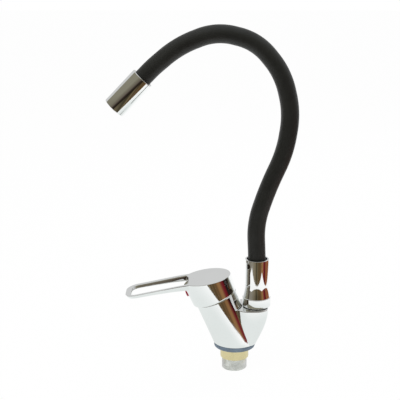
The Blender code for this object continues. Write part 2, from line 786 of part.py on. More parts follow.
def make_rotor(rotor):
    """The carrier that turns with the handle, and the pin that the stem tips on."""
    low = CARRIER_LOW - PIVOT_HEIGHT
    step = low + CARRIER_FLANGE
    top = CARRIER_TOP - PIVOT_HEIGHT
    outline = [
        (0, top),
        (CARRIER_RADIUS, top),
        (CARRIER_RADIUS, step),
        (CARRIER_FLANGE_RADIUS, step),
        (CARRIER_FLANGE_RADIUS, low),
        (0, low),
    ]
    carrier = piece(turned("stem_carrier", outline), rotor, "white_plastic")
    half = STEM_HALF_WIDTH + GAP
    slot = box(
        "carrier_slot",
        (-CARRIER_SLOT_FRONT, -half, low - OVERRUN),
        (CARRIER_SLOT_BACK, half, top + OVERRUN),
    )
    hole_reach = CARRIER_RADIUS + OVERRUN
    hole = rod("pin_hole", PIN_RADIUS + GAP, (0, -hole_reach, 0), (0, hole_reach, 0))
    cut(carrier, slot, hole)
    pin = rod("pivot_pin", PIN_RADIUS, (0, -PIN_HALF_LENGTH, 0), (0, PIN_HALF_LENGTH, 0))
    piece(pin, rotor, "steel")


def make_moving_disc(slide):
    """The disc that mixes and shuts, and the coupler that the stem's ball pushes."""
    high = MOVING_DISC_LOW + MOVING_DISC_THICKNESS
    disc = cylinder("moving_ceramic_disc", MOVING_DISC_RADIUS, MOVING_DISC_LOW, high)
    disc = piece(placed(disc, moved(z=-PIVOT_HEIGHT)), slide, "ceramic")
    corners = rounded_outline(
        [
            (POCKET_BACK, -POCKET_HALF_WIDTH, OUTLET_PORT / 2),
            (POCKET_BACK + POCKET_LENGTH, -POCKET_HALF_WIDTH, OUTLET_PORT / 2),
            (POCKET_BACK + POCKET_LENGTH, POCKET_HALF_WIDTH, OUTLET_PORT / 2),
            (POCKET_BACK, POCKET_HALF_WIDTH, OUTLET_PORT / 2),
        ],
        steps=2,
    )
    floor = MOVING_DISC_LOW - PIVOT_HEIGHT
    cut(disc, slab("disc_pocket", corners, floor - OVERRUN, floor + POCKET_DEPTH))
    bore = STEM_BALL + GAP
    low = COUPLER_LOW - PIVOT_HEIGHT
    coupler = ring(
        "disc_coupler", bore, COUPLER_RADIUS, low, low + COUPLER_THICKNESS, SMALL_SIDES
    )
    piece(coupler, slide, "white_plastic")


def skirt_form():
    """The round skirt, flaring a little towards the top, before its top is cut to the plane."""
    top = HANDLE_TOP + HANDLE_CAVITY / 2
    rim = SKIRT_RIM - PIVOT_HEIGHT
    height = top - SKIRT_RIM
    steps = 3
    outline = [(0, rim + height), (SKIRT_RIM_RADIUS + SKIRT_FLARE_SHARE * height, rim + height)]
    for k in range(steps + 1):
        angle = k / steps * pi / 2
        radius = SKIRT_RIM_RADIUS - SKIRT_EDGE + SKIRT_EDGE * cos(angle)
        outline.append((radius, rim + SKIRT_EDGE - SKIRT_EDGE * sin(angle)))
    outline.append((0, rim))
    return placed(turned("handle", outline), moved(x=-SKIRT_FORWARD))


def lever_outline():
    """The lever seen on its top plane, without its slot."""
    return rounded_outline(
        [
            (0, -LEVER_HALF_WIDTH, 0),
            (0, LEVER_HALF_WIDTH, 0),
            (-LEVER_REACH, LEVER_HALF_WIDTH, LEVER_TIP_CORNER),
            (-LEVER_REACH, -LEVER_HALF_WIDTH, LEVER_TIP_CORNER),
        ]
    )


def lever_slot():
    """The cutter for the slot through the lever, which runs a little into the skirt's top."""
    outline = rounded_outline(
        [
            (-SLOT_ROOT, -SLOT_HALF_WIDTH, SLOT_CORNER),
            (-SLOT_ROOT, SLOT_HALF_WIDTH, SLOT_CORNER),
            (-SLOT_END, SLOT_HALF_WIDTH, SLOT_CORNER),
            (-SLOT_END, -SLOT_HALF_WIDTH, SLOT_CORNER),
        ]
    )
    return slab("lever_slot", outline, -SLOT_DEPTH, OVERRUN)


def lever_drop(reach):
    """How far the lever's top lies under the skirt's top plane at a reach."""
    return (reach - LEVER_DROOP_START) * tan(LEVER_DROOP)


def lever_side():
    """The lever seen from the side: it droops from the skirt and is thicker at its root."""
    root = SKIRT_RIM_RADIUS
    middle = (LEVER_REACH + LEVER_DROOP_START) / 2
    end = LEVER_REACH + OVERRUN
    return [
        (OVERRUN, 0),
        (-LEVER_DROOP_START, 0),
        (-end, -lever_drop(end)),
        (-end, -lever_drop(end) - LEVER_TIP_THICKNESS),
        (-middle, -lever_drop(middle) - LEVER_MID_THICKNESS),
        (-root, -LEVER_ROOT_THICKNESS),
        (OVERRUN, -LEVER_ROOT_THICKNESS),
    ]


def lever_form(plane):
    """The lever before its slot is cut: its outline, thinned to its side view."""
    deep = 2 * LEVER_ROOT_THICKNESS
    lever = bpy.data.objects.new("lever_form", slab("lever_form", lever_outline(), -deep, deep))
    CUTTERS.objects.link(lever)
    side = slab("lever_side", lever_side(), -LEVER_REACH, LEVER_REACH)
    boolean(lever, placed(side, Matrix.Rotation(pi / 2, 4, "X")), "INTERSECT")
    return placed(realised(lever), plane)


def handle_hollow():
    """The ring-shaped hollow round the hub, joined to the round cavity below it."""
    return ring("handle_hollow", HUB_RADIUS, HOLLOW_RADIUS, 0, HOLLOW_TOP - PIVOT_HEIGHT)


def cavity_cutter():
    """The ball-shaped cavity, which lets the skirt swing over the dome and the barrel."""
    steps = 16
    angles = [pi / 2 - pi * k / steps for k in range(steps + 1)]
    outline = [(HANDLE_CAVITY * cos(a), HANDLE_CAVITY * sin(a)) for a in angles]
    outline[0] = (0, HANDLE_CAVITY)
    outline[-1] = (0, -HANDLE_CAVITY)
    return turned("handle_cavity", outline)


def skirt_front(height):
    """How far the skirt reaches to the front at a height over its rim."""
    return SKIRT_FORWARD + SKIRT_RIM_RADIUS + SKIRT_FLARE_SHARE * (height - SKIRT_RIM)


def make_handle(lift):
    """The handle with its stem, set screw and index plug, in the pivot's frame."""
    plane = lift.local(HANDLE_PLANE)
    handle = piece(skirt_form(), lift, "chrome")
    reach = 2 * LEVER_REACH
    above = box("top_cutter", (-reach, -reach, 0), (reach, reach, reach))
    cut(handle, placed(above, plane))
    join(handle, lever_form(plane))
    cut(handle, placed(lever_slot(), plane), cavity_cutter(), handle_hollow())
    half = STEM_HALF_WIDTH + GAP
    socket_top = STEM_TOP + GAP - PIVOT_HEIGHT
    socket = box("stem_socket", (-half, -half, 0), (half, half, socket_top))
    screw_height = SCREW_HEIGHT - PIVOT_HEIGHT
    front = skirt_front(SCREW_HEIGHT)
    seat = front - PLUG_SEAT_DEPTH
    screw_hole = rod(
        "screw_hole", SCREW_RADIUS + GAP, (0, 0, screw_height), (-front, 0, screw_height)
    )
    plug_hole = rod(
        "plug_hole",
        PLUG_RADIUS + GAP,
        (-seat, 0, screw_height),
        (-front - OVERRUN, 0, screw_height),
        SMALL_SIDES,
    )
    cut(handle, socket, screw_hole, plug_hole)

    screw = rod(
        "handle_screw",
        SCREW_RADIUS,
        (-half, 0, screw_height),
        (-half - SCREW_LENGTH, 0, screw_height),
    )
    piece(screw, lift, "steel")

    length = PLUG_SEAT_DEPTH + PLUG_PROUD - GAP
    outline = [
        (0, length),
        (PLUG_RADIUS / 2, length - PLUG_PROUD / 4),
        (PLUG_RADIUS, length - PLUG_PROUD),
        (PLUG_RADIUS, 0),
        (0, 0),
    ]
    plug = placed(turned("index_plug", outline, SMALL_SIDES), tilted(-pi / 2))
    piece(placed(plug, moved(x=-seat - GAP, z=screw_height)), lift, "index_red")


def make_stem(lift):
    """The square stem, its ball foot and the hole that the pivot pin goes through."""
    half = STEM_HALF_WIDTH
    bar = box(
        "control_stem", (-half, -half, -STEM_FOOT_DROP), (half, half, STEM_TOP - PIVOT_HEIGHT)
    )
    stem = piece(bar, lift, "steel")
    steps = 6
    neck_angle = asin(STEM_NECK / STEM_BALL)
    outline = [(0, -STEM_FOOT_DROP / 2), (STEM_NECK, -STEM_FOOT_DROP / 2)]
    for k in range(steps + 1):
        angle = neck_angle + (pi - neck_angle) * k / steps
        outline.append((STEM_BALL * sin(angle), STEM_BALL * cos(angle) - STEM_BALL_DROP))
    outline[-1] = (0, -STEM_BALL - STEM_BALL_DROP)
    join(stem, turned("stem_foot", outline, HOLE_SIDES))
    reach = half + OVERRUN
    cut(stem, rod("stem_hole", PIN_RADIUS + GAP, (0, -reach, 0), (0, reach, 0)))


# Spout collar heights
COLLAR_LOW = BLOCK_TOP + THRUST_RING_PROUD + GAP
TAIL_FLANGE_LOW = TUBE_FLOOR + GAP
HOSE_LOW = TAIL_FLANGE_LOW + TAIL_FLANGE + GAP
SPIGOT_CLIP_FLOOR = SPIGOT_RADIUS - CLIP_SEAT_IN_SPIGOT


def groove(height, width, floor):
    """A groove round the spigot, from its upper edge to its lower one."""
    high = height + width / 2
    low = height - width / 2
    return [(SPIGOT_RADIUS, high), (floor, high), (floor, low), (SPIGOT_RADIUS, low)]


def make_spout_collar(spout):
    """The chrome collar that the hose stands in, with the spigot that turns in the body."""
    outline = [
        (TUBE_BORE, TUBE_TOP),
        (TUBE_RADIUS - TUBE_EDGE, TUBE_TOP),
        (TUBE_RADIUS, TUBE_TOP - TUBE_EDGE),
        (TUBE_RADIUS, FLARE_TOP),
        (FLARE_MID_RADIUS, FLARE_MID),
        (FLARE_RADIUS, FLANGE_TOP + TUBE_EDGE),
        (FLANGE_RADIUS, FLANGE_TOP),
        (FLANGE_RADIUS, COLLAR_LOW),
        (SPIGOT_RADIUS, COLLAR_LOW),
    ]
    clip_width = CLIP_THICKNESS + 2 * GAP
    outline += groove(CLIP_HEIGHT, clip_width, SPIGOT_CLIP_FLOOR)
    outline += groove(RING_UPPER, RING_GROOVE_WIDTH, RING_GROOVE_RADIUS)
    outline += groove(RING_LOWER, RING_GROOVE_WIDTH, RING_GROOVE_RADIUS)
    outline += [
        (SPIGOT_RADIUS, SPIGOT_END),
        (SPIGOT_BORE, SPIGOT_END),
        (SPIGOT_BORE, TUBE_FLOOR),
        (TUBE_BORE, TUBE_FLOOR),
    ]
    piece(turned("spout_collar", outline, bored=True), spout, "chrome")


def make_spout_fittings(base, spout):
    """Seals, clip and thrust ring of the spout's swivel."""
    middle = (RING_GROOVE_RADIUS + SPIGOT_RADIUS + GAP) / 2
    for name, height in (("spout_oring_lower", RING_LOWER), ("spout_oring_upper", RING_UPPER)):
        seal = torus(name, middle, height, RING_THICKNESS, SMALL_SIDES)
        piece(seal, spout, "black_rubber")

    clip_bore = SPIGOT_CLIP_FLOOR + GAP
    clip_radius = SPIGOT_RADIUS + CLIP_SEAT_IN_BODY - GAP
    low = CLIP_HEIGHT - CLIP_THICKNESS / 2
    high = CLIP_HEIGHT + CLIP_THICKNESS / 2
    clip = piece(
        ring("spout_snap_ring", clip_bore, clip_radius, low, high, SMALL_SIDES), spout, "steel"
    )
    half = CLIP_OPENING / 2
    opening = box(
        "clip_opening", (0, -half, low - OVERRUN), (clip_radius + OVERRUN, half, high + OVERRUN)
    )
    cut(clip, opening)

    top = BLOCK_TOP + THRUST_RING_PROUD
    thrust = ring(
        "spout_thrust_ring",
        SPIGOT_RADIUS + GAP,
        THRUST_RING_RADIUS,
        top - THRUST_RING_THICKNESS,
        top,
    )
    piece(placed(thrust, SPOUT), base, "white_plastic")


def make_hose_tail(spout):
    """The threaded tail that the hose is crimped on, inside the collar."""
    thread = SPIGOT_BORE - GAP
    flange_top = TAIL_FLANGE_LOW + TAIL_FLANGE
    barb_top = flange_top + TAIL_BARB_LENGTH
    low = TUBE_FLOOR - TAIL_THREAD_LENGTH
    outline = [
        (TAIL_BORE, barb_top),
        (TAIL_BARB, barb_top),
        (TAIL_BARB, flange_top),
        (TAIL_FLANGE_RADIUS, flange_top),
        (TAIL_FLANGE_RADIUS, TAIL_FLANGE_LOW),
        (thread, TAIL_FLANGE_LOW),
        (thread, low),
        (TAIL_BORE, low),
    ]
    piece(turned("hose_tail", outline, SMALL_SIDES, bored=True), spout, "brass")
    bore = HOSE_RADIUS + GAP
    ferrule = ring(
        "lower_ferrule", bore, bore + FERRULE_WALL, HOSE_LOW, HOSE_LOW + FERRULE_LENGTH, SMALL_SIDES
    )
    piece(ferrule, spout, "steel")


def hose_runs():
    """The hose's middle line as (length, turn) runs, from the collar to the outlet."""
    runs = [(HOSE_STANDS, 0)]
    curves = [HOSE_FIRST_CURVE] + [HOSE_STRETCH - 2 * BEND_STRAIGHT] * (len(HOSE_TURNS) - 2)
    for length, turn in zip(curves + [HOSE_LAST_CURVE], HOSE_TURNS):
        runs.append((length, turn))
        runs.append((2 * BEND_STRAIGHT, 0))
    runs[-1] = (BEND_STRAIGHT, 0)
    return runs


HOSE_RUNS = hose_runs()
HOSE_LENGTH = sum(length for length, _ in HOSE_RUNS)
BEND_COUNT = len(HOSE_TURNS) - 1
FIRST_BEND = HOSE_STANDS + HOSE_FIRST_CURVE + BEND_STRAIGHT
BENDS = [FIRST_BEND + k * HOSE_STRETCH for k in range(BEND_COUNT)]


def along(length, turn, distance):
    """The frame after a distance along a run that turns evenly."""
    if not turn:
        return moved(z=distance)
    radius = length / turn
    angle = distance / radius
    return moved(x=radius * (1 - cos(angle)), z=radius * sin(angle)) @ tilted(angle)


def hose_frame(distance):
    """The frame at a distance along the hose; past its ends it goes straight on."""
    frame = SPOUT @ moved(z=HOSE_LOW)
    for length, turn in HOSE_RUNS:
        if distance <= length:
            return frame @ along(length, turn, distance)
        frame = frame @ along(length, turn, length)
        distance -= length
    return frame @ moved(z=distance)


def bent(mesh, axis, start):
    """Lay a straight turned mesh along the hose, from a distance on its middle line."""
    for vertex in mesh.vertices:
        x, y, z = vertex.co
        vertex.co = axis.local(hose_frame(start + z)) @ Vector((x, y, 0))
    return mesh


def rings_between(start, end, curve):
    """Heights of the rings that let a stretch curve, from the lower to the upper one."""
    low, high = curve
    steps = CURVE_RINGS + 1
    heights = [low + (high - low) * k / steps for k in range(steps + 1)]
    return [height for height in heights if start < height < end]


def ball_end(at):
    """The rounded upper end of a sleeve, turning about a bend, from its face downwards."""
    steps = 2
    first = asin(BALL_DEPTH / HOSE_RADIUS)
    angles = [first * (1 - k / steps) for k in range(steps + 1)]
    return [(HOSE_RADIUS * cos(a), at + HOSE_RADIUS * sin(a)) for a in angles]


def cup_end():
    """The hollow lower end of a sleeve, from its rim up to the sleeve's bore."""
    radius = HOSE_RADIUS + CUP_GAP
    angles = [asin(CUP_RIM / radius), acos(SLEEVE_BORE / radius)]
    return [(HOSE_RADIUS, CUP_RIM)] + [(radius * cos(a), radius * sin(a)) for a in angles]


def hose_sleeve(name, start, end, curve, cupped, balled):
    """One stretch of the outer sleeve, straight, with heights counted from its start."""
    heights = rings_between(0, end - start, curve)
    if balled:
        outer = ball_end(end - start)
        top = end - start + BALL_DEPTH
    else:
        top = end - start
        outer = [(HOSE_RADIUS, top)]
    outer += [(HOSE_RADIUS, height) for height in reversed(heights)]
    lower = cup_end() if cupped else [(HOSE_RADIUS, 0), (SLEEVE_BORE, 0)]
    inner = [(SLEEVE_BORE, height) for height in heights] + [(SLEEVE_BORE, top)]
    return turned(name, outer + lower + inner, HOSE_SIDES, bored=True)


def hose_core(name, low, high, curve):
    """One stretch of the inner tube, straight, with heights counted from its sleeve's start."""
    radius = SLEEVE_BORE - GAP
    heights = rings_between(low, high, curve)
    outer = [(radius, high)] + [(radius, height) for height in reversed(heights)]
    inner = [(CORE_BORE, low)] + [(CORE_BORE, height) for height in heights]
    outline = [*outer, (radius, low), *inner, (CORE_BORE, high)]
    return turned(name, outline, CORE_SIDES, bored=True)


def make_hose(spout):
    """All stretches of the hose; returns the axis that the outlet rides on."""
    axis = spout
    edges = [0, *BENDS, HOSE_LENGTH + OUTLET_HOSE_DEPTH]
    for k, (start, end) in enumerate(zip(edges[:-1], edges[1:])):
        if k:
            axis = Axis(f"hose_bend_{k}_axis", hose_frame(start), axis)
        last = k == BEND_COUNT
        low = BEND_STRAIGHT if k else HOSE_STANDS
        high = HOSE_LENGTH - BEND_STRAIGHT - start if last else end - start - BEND_STRAIGHT
        curve = (low, high)
        sleeve = hose_sleeve(f"hose_sleeve_{k}", start, end, curve, k > 0, not last)
        piece(bent(sleeve, axis, start), axis, "dark_silicone")
        core_low = CORE_START if k else GAP
        core = hose_core(f"hose_core_{k}", core_low, end - start - CORE_END, curve)
        piece(bent(core, axis, start), axis, "inner_tube")
    return axis


def make_outlet(axis):
    """The chrome outlet sleeve and what it holds; its frame looks along the water's way."""
    frame = axis.local(hose_frame(HOSE_LENGTH))

    def set_in_place(mesh, finish):
        return piece(placed(mesh, frame), axis, finish)

    lip_bore = HOSE_RADIUS + GAP
    outline = [
        (OUTLET_BORE, OUTLET_LENGTH),
        (OUTLET_RADIUS - OUTLET_EDGE, OUTLET_LENGTH),
        (OUTLET_RADIUS, OUTLET_LENGTH - OUTLET_EDGE),
        (OUTLET_RADIUS, OUTLET_EDGE),
        (OUTLET_RADIUS - OUTLET_EDGE, 0),
        (lip_bore, 0),
        (lip_bore, OUTLET_LIP),
        (OUTLET_BORE, OUTLET_LIP),
    ]
    set_in_place(turned("aerator_sleeve", outline, bored=True), "chrome")

    ferrule = ring(
        "upper_ferrule",
        lip_bore,
        lip_bore + FERRULE_WALL,
        OUTLET_LIP + GAP,
        OUTLET_HOSE_DEPTH,
        SMALL_SIDES,
    )
    set_in_place(ferrule, "steel")

    adapter_low = OUTLET_HOSE_DEPTH + GAP
    barb_low = adapter_low - OUTLET_HOSE_DEPTH / 2
    radius = OUTLET_BORE - GAP
    outline = [
        (TAIL_BORE, ADAPTER_END),
        (radius, ADAPTER_END),
        (radius, adapter_low),
        (TAIL_BARB, adapter_low),
        (TAIL_BARB, barb_low),
        (TAIL_BORE, barb_low),
    ]
    set_in_place(turned("outlet_adapter", outline, SMALL_SIDES, bored=True), "brass")

    washer = ring("aerator_washer", WASHER_BORE, radius, WASHER_LOW, WASHER_HIGH, SMALL_SIDES)
    set_in_place(washer, "black_rubber")

    insert = cylinder("aerator_insert", radius, INSERT_LOW, INSERT_HIGH, SMALL_SIDES)
    insert = set_in_place(insert, "white_plastic")
    centres = [(0, 0)]
    for k in range(INSERT_HOLE_COUNT):
        angle = 2 * pi * k / INSERT_HOLE_COUNT
        centres.append((INSERT_HOLE_CIRCLE * cos(angle), INSERT_HOLE_CIRCLE * sin(angle)))
    for x, y in centres:
        start = (x, y, INSERT_LOW - OVERRUN)
        end = (x, y, INSERT_HIGH + OVERRUN)
        hole = rod("insert_hole", INSERT_HOLE, start, end, SMALL_HOLE_SIDES)
        cut(insert, placed(hole, frame))


def make_faucet():
    base = Axis("base_axis", WORLD)
    barrel = Axis("barrel_axis", BARREL, base)
    make_body(base)
    make_deck_fastening(base)
    make_cartridge(barrel)
    make_dome(Axis("dome_axis", PIVOT, base))

    rotor = Axis("handle_swivel_axis", PIVOT, base)
    make_rotor(rotor)
    make_moving_disc(Axis("disc_slide_axis", PIVOT, rotor))
    lift = Axis("handle_lift_axis", PIVOT, rotor)
    make_handle(lift)
    make_stem(lift)

    spout = Axis("spout_swivel_axis", SPOUT, base)
    make_spout_collar(spout)
    make_spout_fittings(base, spout)
    make_hose_tail(spout)
    make_outlet(make_hose(spout))


make_faucet()
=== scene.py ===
"""Flexible kitchen faucet: fine surfaces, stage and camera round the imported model.

Metres, +Z up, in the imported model's own frame. The origin is the middle of the tap hole.
"""

from math import asin, cos, pi, radians, sin, tan

import bmesh
import bpy
from mathutils import Matrix, Vector


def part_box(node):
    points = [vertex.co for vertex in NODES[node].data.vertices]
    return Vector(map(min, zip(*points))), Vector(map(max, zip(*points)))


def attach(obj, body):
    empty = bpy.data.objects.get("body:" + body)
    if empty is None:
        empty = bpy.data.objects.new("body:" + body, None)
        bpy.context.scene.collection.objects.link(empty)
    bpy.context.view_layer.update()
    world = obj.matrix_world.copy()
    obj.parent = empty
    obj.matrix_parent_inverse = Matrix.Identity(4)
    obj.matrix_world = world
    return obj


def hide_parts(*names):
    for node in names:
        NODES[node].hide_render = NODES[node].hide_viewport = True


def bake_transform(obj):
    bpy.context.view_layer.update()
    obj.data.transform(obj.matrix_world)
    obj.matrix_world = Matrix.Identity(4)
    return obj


bl_info = {
    "name": "Flexible Kitchen Faucet",
    "version": (1, 0, 0),
    "blender": (4, 5, 0),
    "location": "3D View > Sidebar > Faucet",
    "description": "Fine surfaces, materials and stage for a flexible kitchen faucet",
    "category": "Object",
}

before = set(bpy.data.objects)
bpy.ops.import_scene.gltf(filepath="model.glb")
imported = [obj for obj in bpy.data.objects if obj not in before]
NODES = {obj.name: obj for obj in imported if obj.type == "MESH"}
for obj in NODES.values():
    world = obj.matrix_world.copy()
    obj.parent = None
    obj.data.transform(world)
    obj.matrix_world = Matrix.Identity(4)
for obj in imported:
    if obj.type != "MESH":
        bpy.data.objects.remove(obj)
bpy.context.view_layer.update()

GAP = 0.0003  # between two pieces that touch
OVERRUN = 0.003  # how far a cutter runs past the face that it opens
MERGE = 0.000002  # points nearer than this are one point
ROUND_STEPS = 144  # sides of a large turned piece
FINE_STEPS = 96  # sides of a small turned piece
SHARP = radians(28)  # edges that turn more than this stay sharp

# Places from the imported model
SPOUT_LOW, SPOUT_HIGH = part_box("spout_collar")
SPOUT_X = (SPOUT_LOW.x + SPOUT_HIGH.x) / 2
GASKET_LOW, GASKET_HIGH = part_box("deck_gasket")
BODY_BOTTOM = GASKET_HIGH.z + GAP
HOSE_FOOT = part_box("hose_sleeve_0")[0].z
SHANK_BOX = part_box("threaded_shank")
BRASS_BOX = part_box("brass_collar")

# The hose's middle line after its straight foot: lengths, and turns in degrees to the back
HOSE_STANDS = 0.0244
HOSE_FIRST_CURVE = 0.0286
HOSE_STRETCH = 0.0418
HOSE_LAST_CURVE = 0.014
BEND_STRAIGHT = 0.007
HOSE_TURNS = [radians(turn) for turn in (-3, 21, 6, -16, -22, -26, -36, -35, -19, -6)]
SKIN_STRAIGHT = 0.0025
HOSE_STEP = 0.0011
HOSE_SIDES = 64
HOSE_START = 0.0004
HOSE_TAIL = 0.0155  # how far the sleeve goes on inside the outlet

# Barrel frame: it leans to the front over the tap hole
BARREL_FOOT = 0.0069
BARREL_LEAN = radians(22.5)
PIVOT_HEIGHT = 0.043

# Handle
HANDLE_TOP_RISE = 0.0367
HANDLE_TOP_TILT = radians(12.7)
SKIRT_RIM_RISE = 0.012
SKIRT_FORWARD = 0.00135
SKIRT_FLARE = 0.065
SKIRT_EDGE = 0.0015
HANDLE_CAVITY = 0.0260

# Camera that the photograph was taken from, and the stage
CAMERA_PLACE = (-0.0386, -0.890, 0.395)
CAMERA_PITCH = radians(75.64)
CAMERA_LENS = 77.06
CAMERA_SENSOR = 36
CAMERA_CLIP = (0.01, 100)
FLOOR_HEIGHT = SHANK_BOX[0].z - 0.0002


class FaucetBodySizes(bpy.types.PropertyGroup):
    """Sizes of the body"""

    barrel_radius: bpy.props.FloatProperty(
        name="Barrel radius", description="Radius of the leaning barrel",
        default=0.0224, unit="LENGTH",
    )
    block_top: bpy.props.FloatProperty(
        name="Block height", description="Height of the block's flat top over the deck",
        default=0.047, unit="LENGTH",
    )
    block_front: bpy.props.FloatProperty(
        name="Block front", description="Where the block's top starts, inside the barrel",
        default=0.0004, unit="LENGTH",
    )
    block_back: bpy.props.FloatProperty(
        name="Block back", description="Where the block's top ends, behind the spout",
        default=0.0366, unit="LENGTH",
    )
    block_half_width: bpy.props.FloatProperty(
        name="Block half width", description="Half of the block's width at its top",
        default=0.0203, unit="LENGTH",
    )


class FaucetHandleSizes(bpy.types.PropertyGroup):
    """Sizes of the handle"""

    skirt_radius: bpy.props.FloatProperty(
        name="Skirt radius", description="Radius of the skirt at its lower rim",
        default=0.0250, unit="LENGTH",
    )
    reach: bpy.props.FloatProperty(
        name="Lever reach", description="From the barrel's axis to the lever's tip",
        default=0.092, unit="LENGTH",
    )
    half_width: bpy.props.FloatProperty(
        name="Lever half width", description="Half of the loop's width",
        default=0.0195, unit="LENGTH",
    )
    slot_half_width: bpy.props.FloatProperty(
        name="Slot half width", description="Half of the slot's width at its top",
        default=0.015, unit="LENGTH",
    )
    plug_radius: bpy.props.FloatProperty(
        name="Plug radius", description="Radius of the index plug",
        default=0.004, unit="LENGTH",
    )


class FaucetHoseSizes(bpy.types.PropertyGroup):
    """Sizes of the hose"""

    radius: bpy.props.FloatProperty(
        name="Hose radius", description="Outer radius of the silicone sleeve",
        default=0.0096, unit="LENGTH",
    )
    wall: bpy.props.FloatProperty(
        name="Sleeve wall", description="Thickness of the sleeve that is modelled",
        default=0.0009, unit="LENGTH",
    )
    blend_reach: bpy.props.FloatProperty(
        name="Bend reach", description="How far to either side of a bend point it bends",
        default=0.016, unit="LENGTH",
    )


class FaucetColours(bpy.types.PropertyGroup):
    """Colours of the pieces that show"""

    chrome: bpy.props.FloatVectorProperty(
        name="Chrome", description="Colour of the chrome plate",
        default=(0.935, 0.95, 0.945), subtype="COLOR",
    )
    hose: bpy.props.FloatVectorProperty(
        name="Hose", description="Colour of the silicone sleeve",
        default=(0.0118, 0.0128, 0.0110), subtype="COLOR",
    )
    gasket: bpy.props.FloatVectorProperty(
        name="Gasket", description="Colour of the deck gasket",
        default=(0.16, 0.21, 0.27), subtype="COLOR",
    )
    brass: bpy.props.FloatVectorProperty(
        name="Brass", description="Colour of the brass collar",
        default=(0.90, 0.78, 0.46), subtype="COLOR",
    )
    warm_mark: bpy.props.FloatVectorProperty(
        name="Warm mark", description="Colour of the index plug's warm side",
        default=(0.36, 0.004, 0.030), subtype="COLOR",
    )
    cold_mark: bpy.props.FloatVectorProperty(
        name="Cold mark", description="Colour of the index plug's cold side",
        default=(0.01, 0.06, 0.42), subtype="COLOR",
    )


def sizes(name):
    """One of the scene's groups of sizes or colours."""
    return getattr(bpy.context.scene, name)


def moved(x=0.0, y=0.0, z=0.0):
    """A shift along the axes."""
    return Matrix.Translation((x, y, z))


def tilted(angle):
    """A turn about Y: a positive angle takes +Z towards +X."""
    return Matrix.Rotation(angle, 4, "Y")


BARREL = moved(z=BARREL_FOOT) @ tilted(-BARREL_LEAN)
PIVOT = BARREL @ moved(z=PIVOT_HEIGHT)
HANDLE_TOP = moved(z=HANDLE_TOP_RISE) @ tilted(HANDLE_TOP_TILT)  # in the pivot's frame
SPOUT = moved(x=SPOUT_X)


# Forms

def closed_up(form):
    """Join the points of a seam or pole and point every face outwards."""
    bmesh.ops.remove_doubles(form, verts=form.verts, dist=MERGE)
    bmesh.ops.recalc_face_normals(form, faces=form.faces)
    return form


def spun(outline, place=None, steps=ROUND_STEPS, bored=False):
    """Turn an outline of (radius, height, rounding) about Z, from its top down the outside."""
    form = bmesh.new()
    points = [form.verts.new((mark[0], 0, mark[1])) for mark in outline]
    pairs = list(zip(points, points[1:]))
    if bored:
        pairs.append((points[-1], points[0]))
    edges = [form.edges.new(pair) for pair in pairs]
    bmesh.ops.spin(
        form, geom=points + edges, cent=(0, 0, 0), axis=(0, 0, 1), angle=2 * pi,
        steps=steps, use_merge=True,
    )
    closed_up(form)
    for mark in outline:
        if len(mark) > 2 and mark[2]:
            round_ring(form, *mark)
    if place:
        bmesh.ops.transform(form, matrix=place, verts=form.verts)
    return form


def rod(radius, top, low, place=None, steps=ROUND_STEPS):
    """A plain round rod about Z."""
    return spun([(0, top), (radius, top), (radius, low), (0, low)], place, steps)


def box_form(sides, middle):
    """A box about its middle."""
    form = bmesh.new()
    bmesh.ops.create_cube(form, size=1)
    bmesh.ops.scale(form, vec=sides, verts=form.verts)
    bmesh.ops.translate(form, vec=middle, verts=form.verts)
    return form


def round_ring(form, radius, height, width, segments=5):
    """Round off the turned corner at one radius and height."""
    near = 5 * MERGE

    def on_ring(vert):
        return abs(vert.co.xy.length - radius) < near and abs(vert.co.z - height) < near

    bevel(form, [e for e in form.edges if all(on_ring(v) for v in e.verts)], width, segments)


def bevel(form, edges, width, segments):
    """Round off edges."""
    bmesh.ops.bevel(
        form, geom=edges, offset=width, offset_type="OFFSET", segments=segments,
        profile=0.5, affect="EDGES", material=-1,
    )


def mesh_of(form, name):
    """A mesh with a form's faces, in place of the form."""
    mesh = bpy.data.meshes.new(name)
    form.to_mesh(mesh)
    form.free()
    return mesh


def loose_object(data):
    """An object of a mesh, curve, light or camera, in the scene."""
    obj = bpy.data.objects.new(data.name, data)
    bpy.context.scene.collection.objects.link(obj)
    return obj


def realised(obj):
    """The mesh that an object shows with its modifiers, in place of the object."""
    bpy.context.view_layer.update()
    graph = bpy.context.evaluated_depsgraph_get()
    mesh = bpy.data.meshes.new_from_object(obj.evaluated_get(graph))
    name = obj.name
    data = obj.data
    bpy.data.objects.remove(obj)
    kind = bpy.data.curves if isinstance(data, bpy.types.Curve) else bpy.data.meshes
    kind.remove(data)
    mesh.name = name
    return mesh


def combined(name, form, *others):
    """A form joined with or cut by others, one at a time, each given as (operation, form)."""
    for operation, other in others:
        obj = loose_object(mesh_of(form, name))
        helper = loose_object(mesh_of(other, name + "_helper"))
        step = obj.modifiers.new(operation, "BOOLEAN")
        step.operation = operation
        step.solver = "EXACT"
        step.object = helper
        mesh = realised(obj)
        data = helper.data
        bpy.data.objects.remove(helper)
        bpy.data.meshes.remove(data)
        form = bmesh.new()
        form.from_mesh(mesh)
        bpy.data.meshes.remove(mesh)
        bmesh.ops.remove_doubles(form, verts=form.verts, dist=MERGE)
    return form


def finished(name, form, body, material, slot, *nodes, flat_faces=False):
    """A piece of the faucet: smooth shaded, on its body, in place of its CAD nodes."""
    mesh = mesh_of(form, name)
    mesh.shade_smooth()
    mesh.set_sharp_from_angle(angle=SHARP)
    obj = loose_object(mesh)
    if flat_faces:
        weigh = obj.modifiers.new("flat faces", "WEIGHTED_NORMAL")
        weigh.keep_sharp = True
        mesh = realised(obj)
        obj = loose_object(mesh)
        obj.name = name
    mesh.materials.clear()
    mesh.materials.append(material)
    if body:
        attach(obj, body)
    if nodes:
        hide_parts(*nodes)
    return obj


# Materials

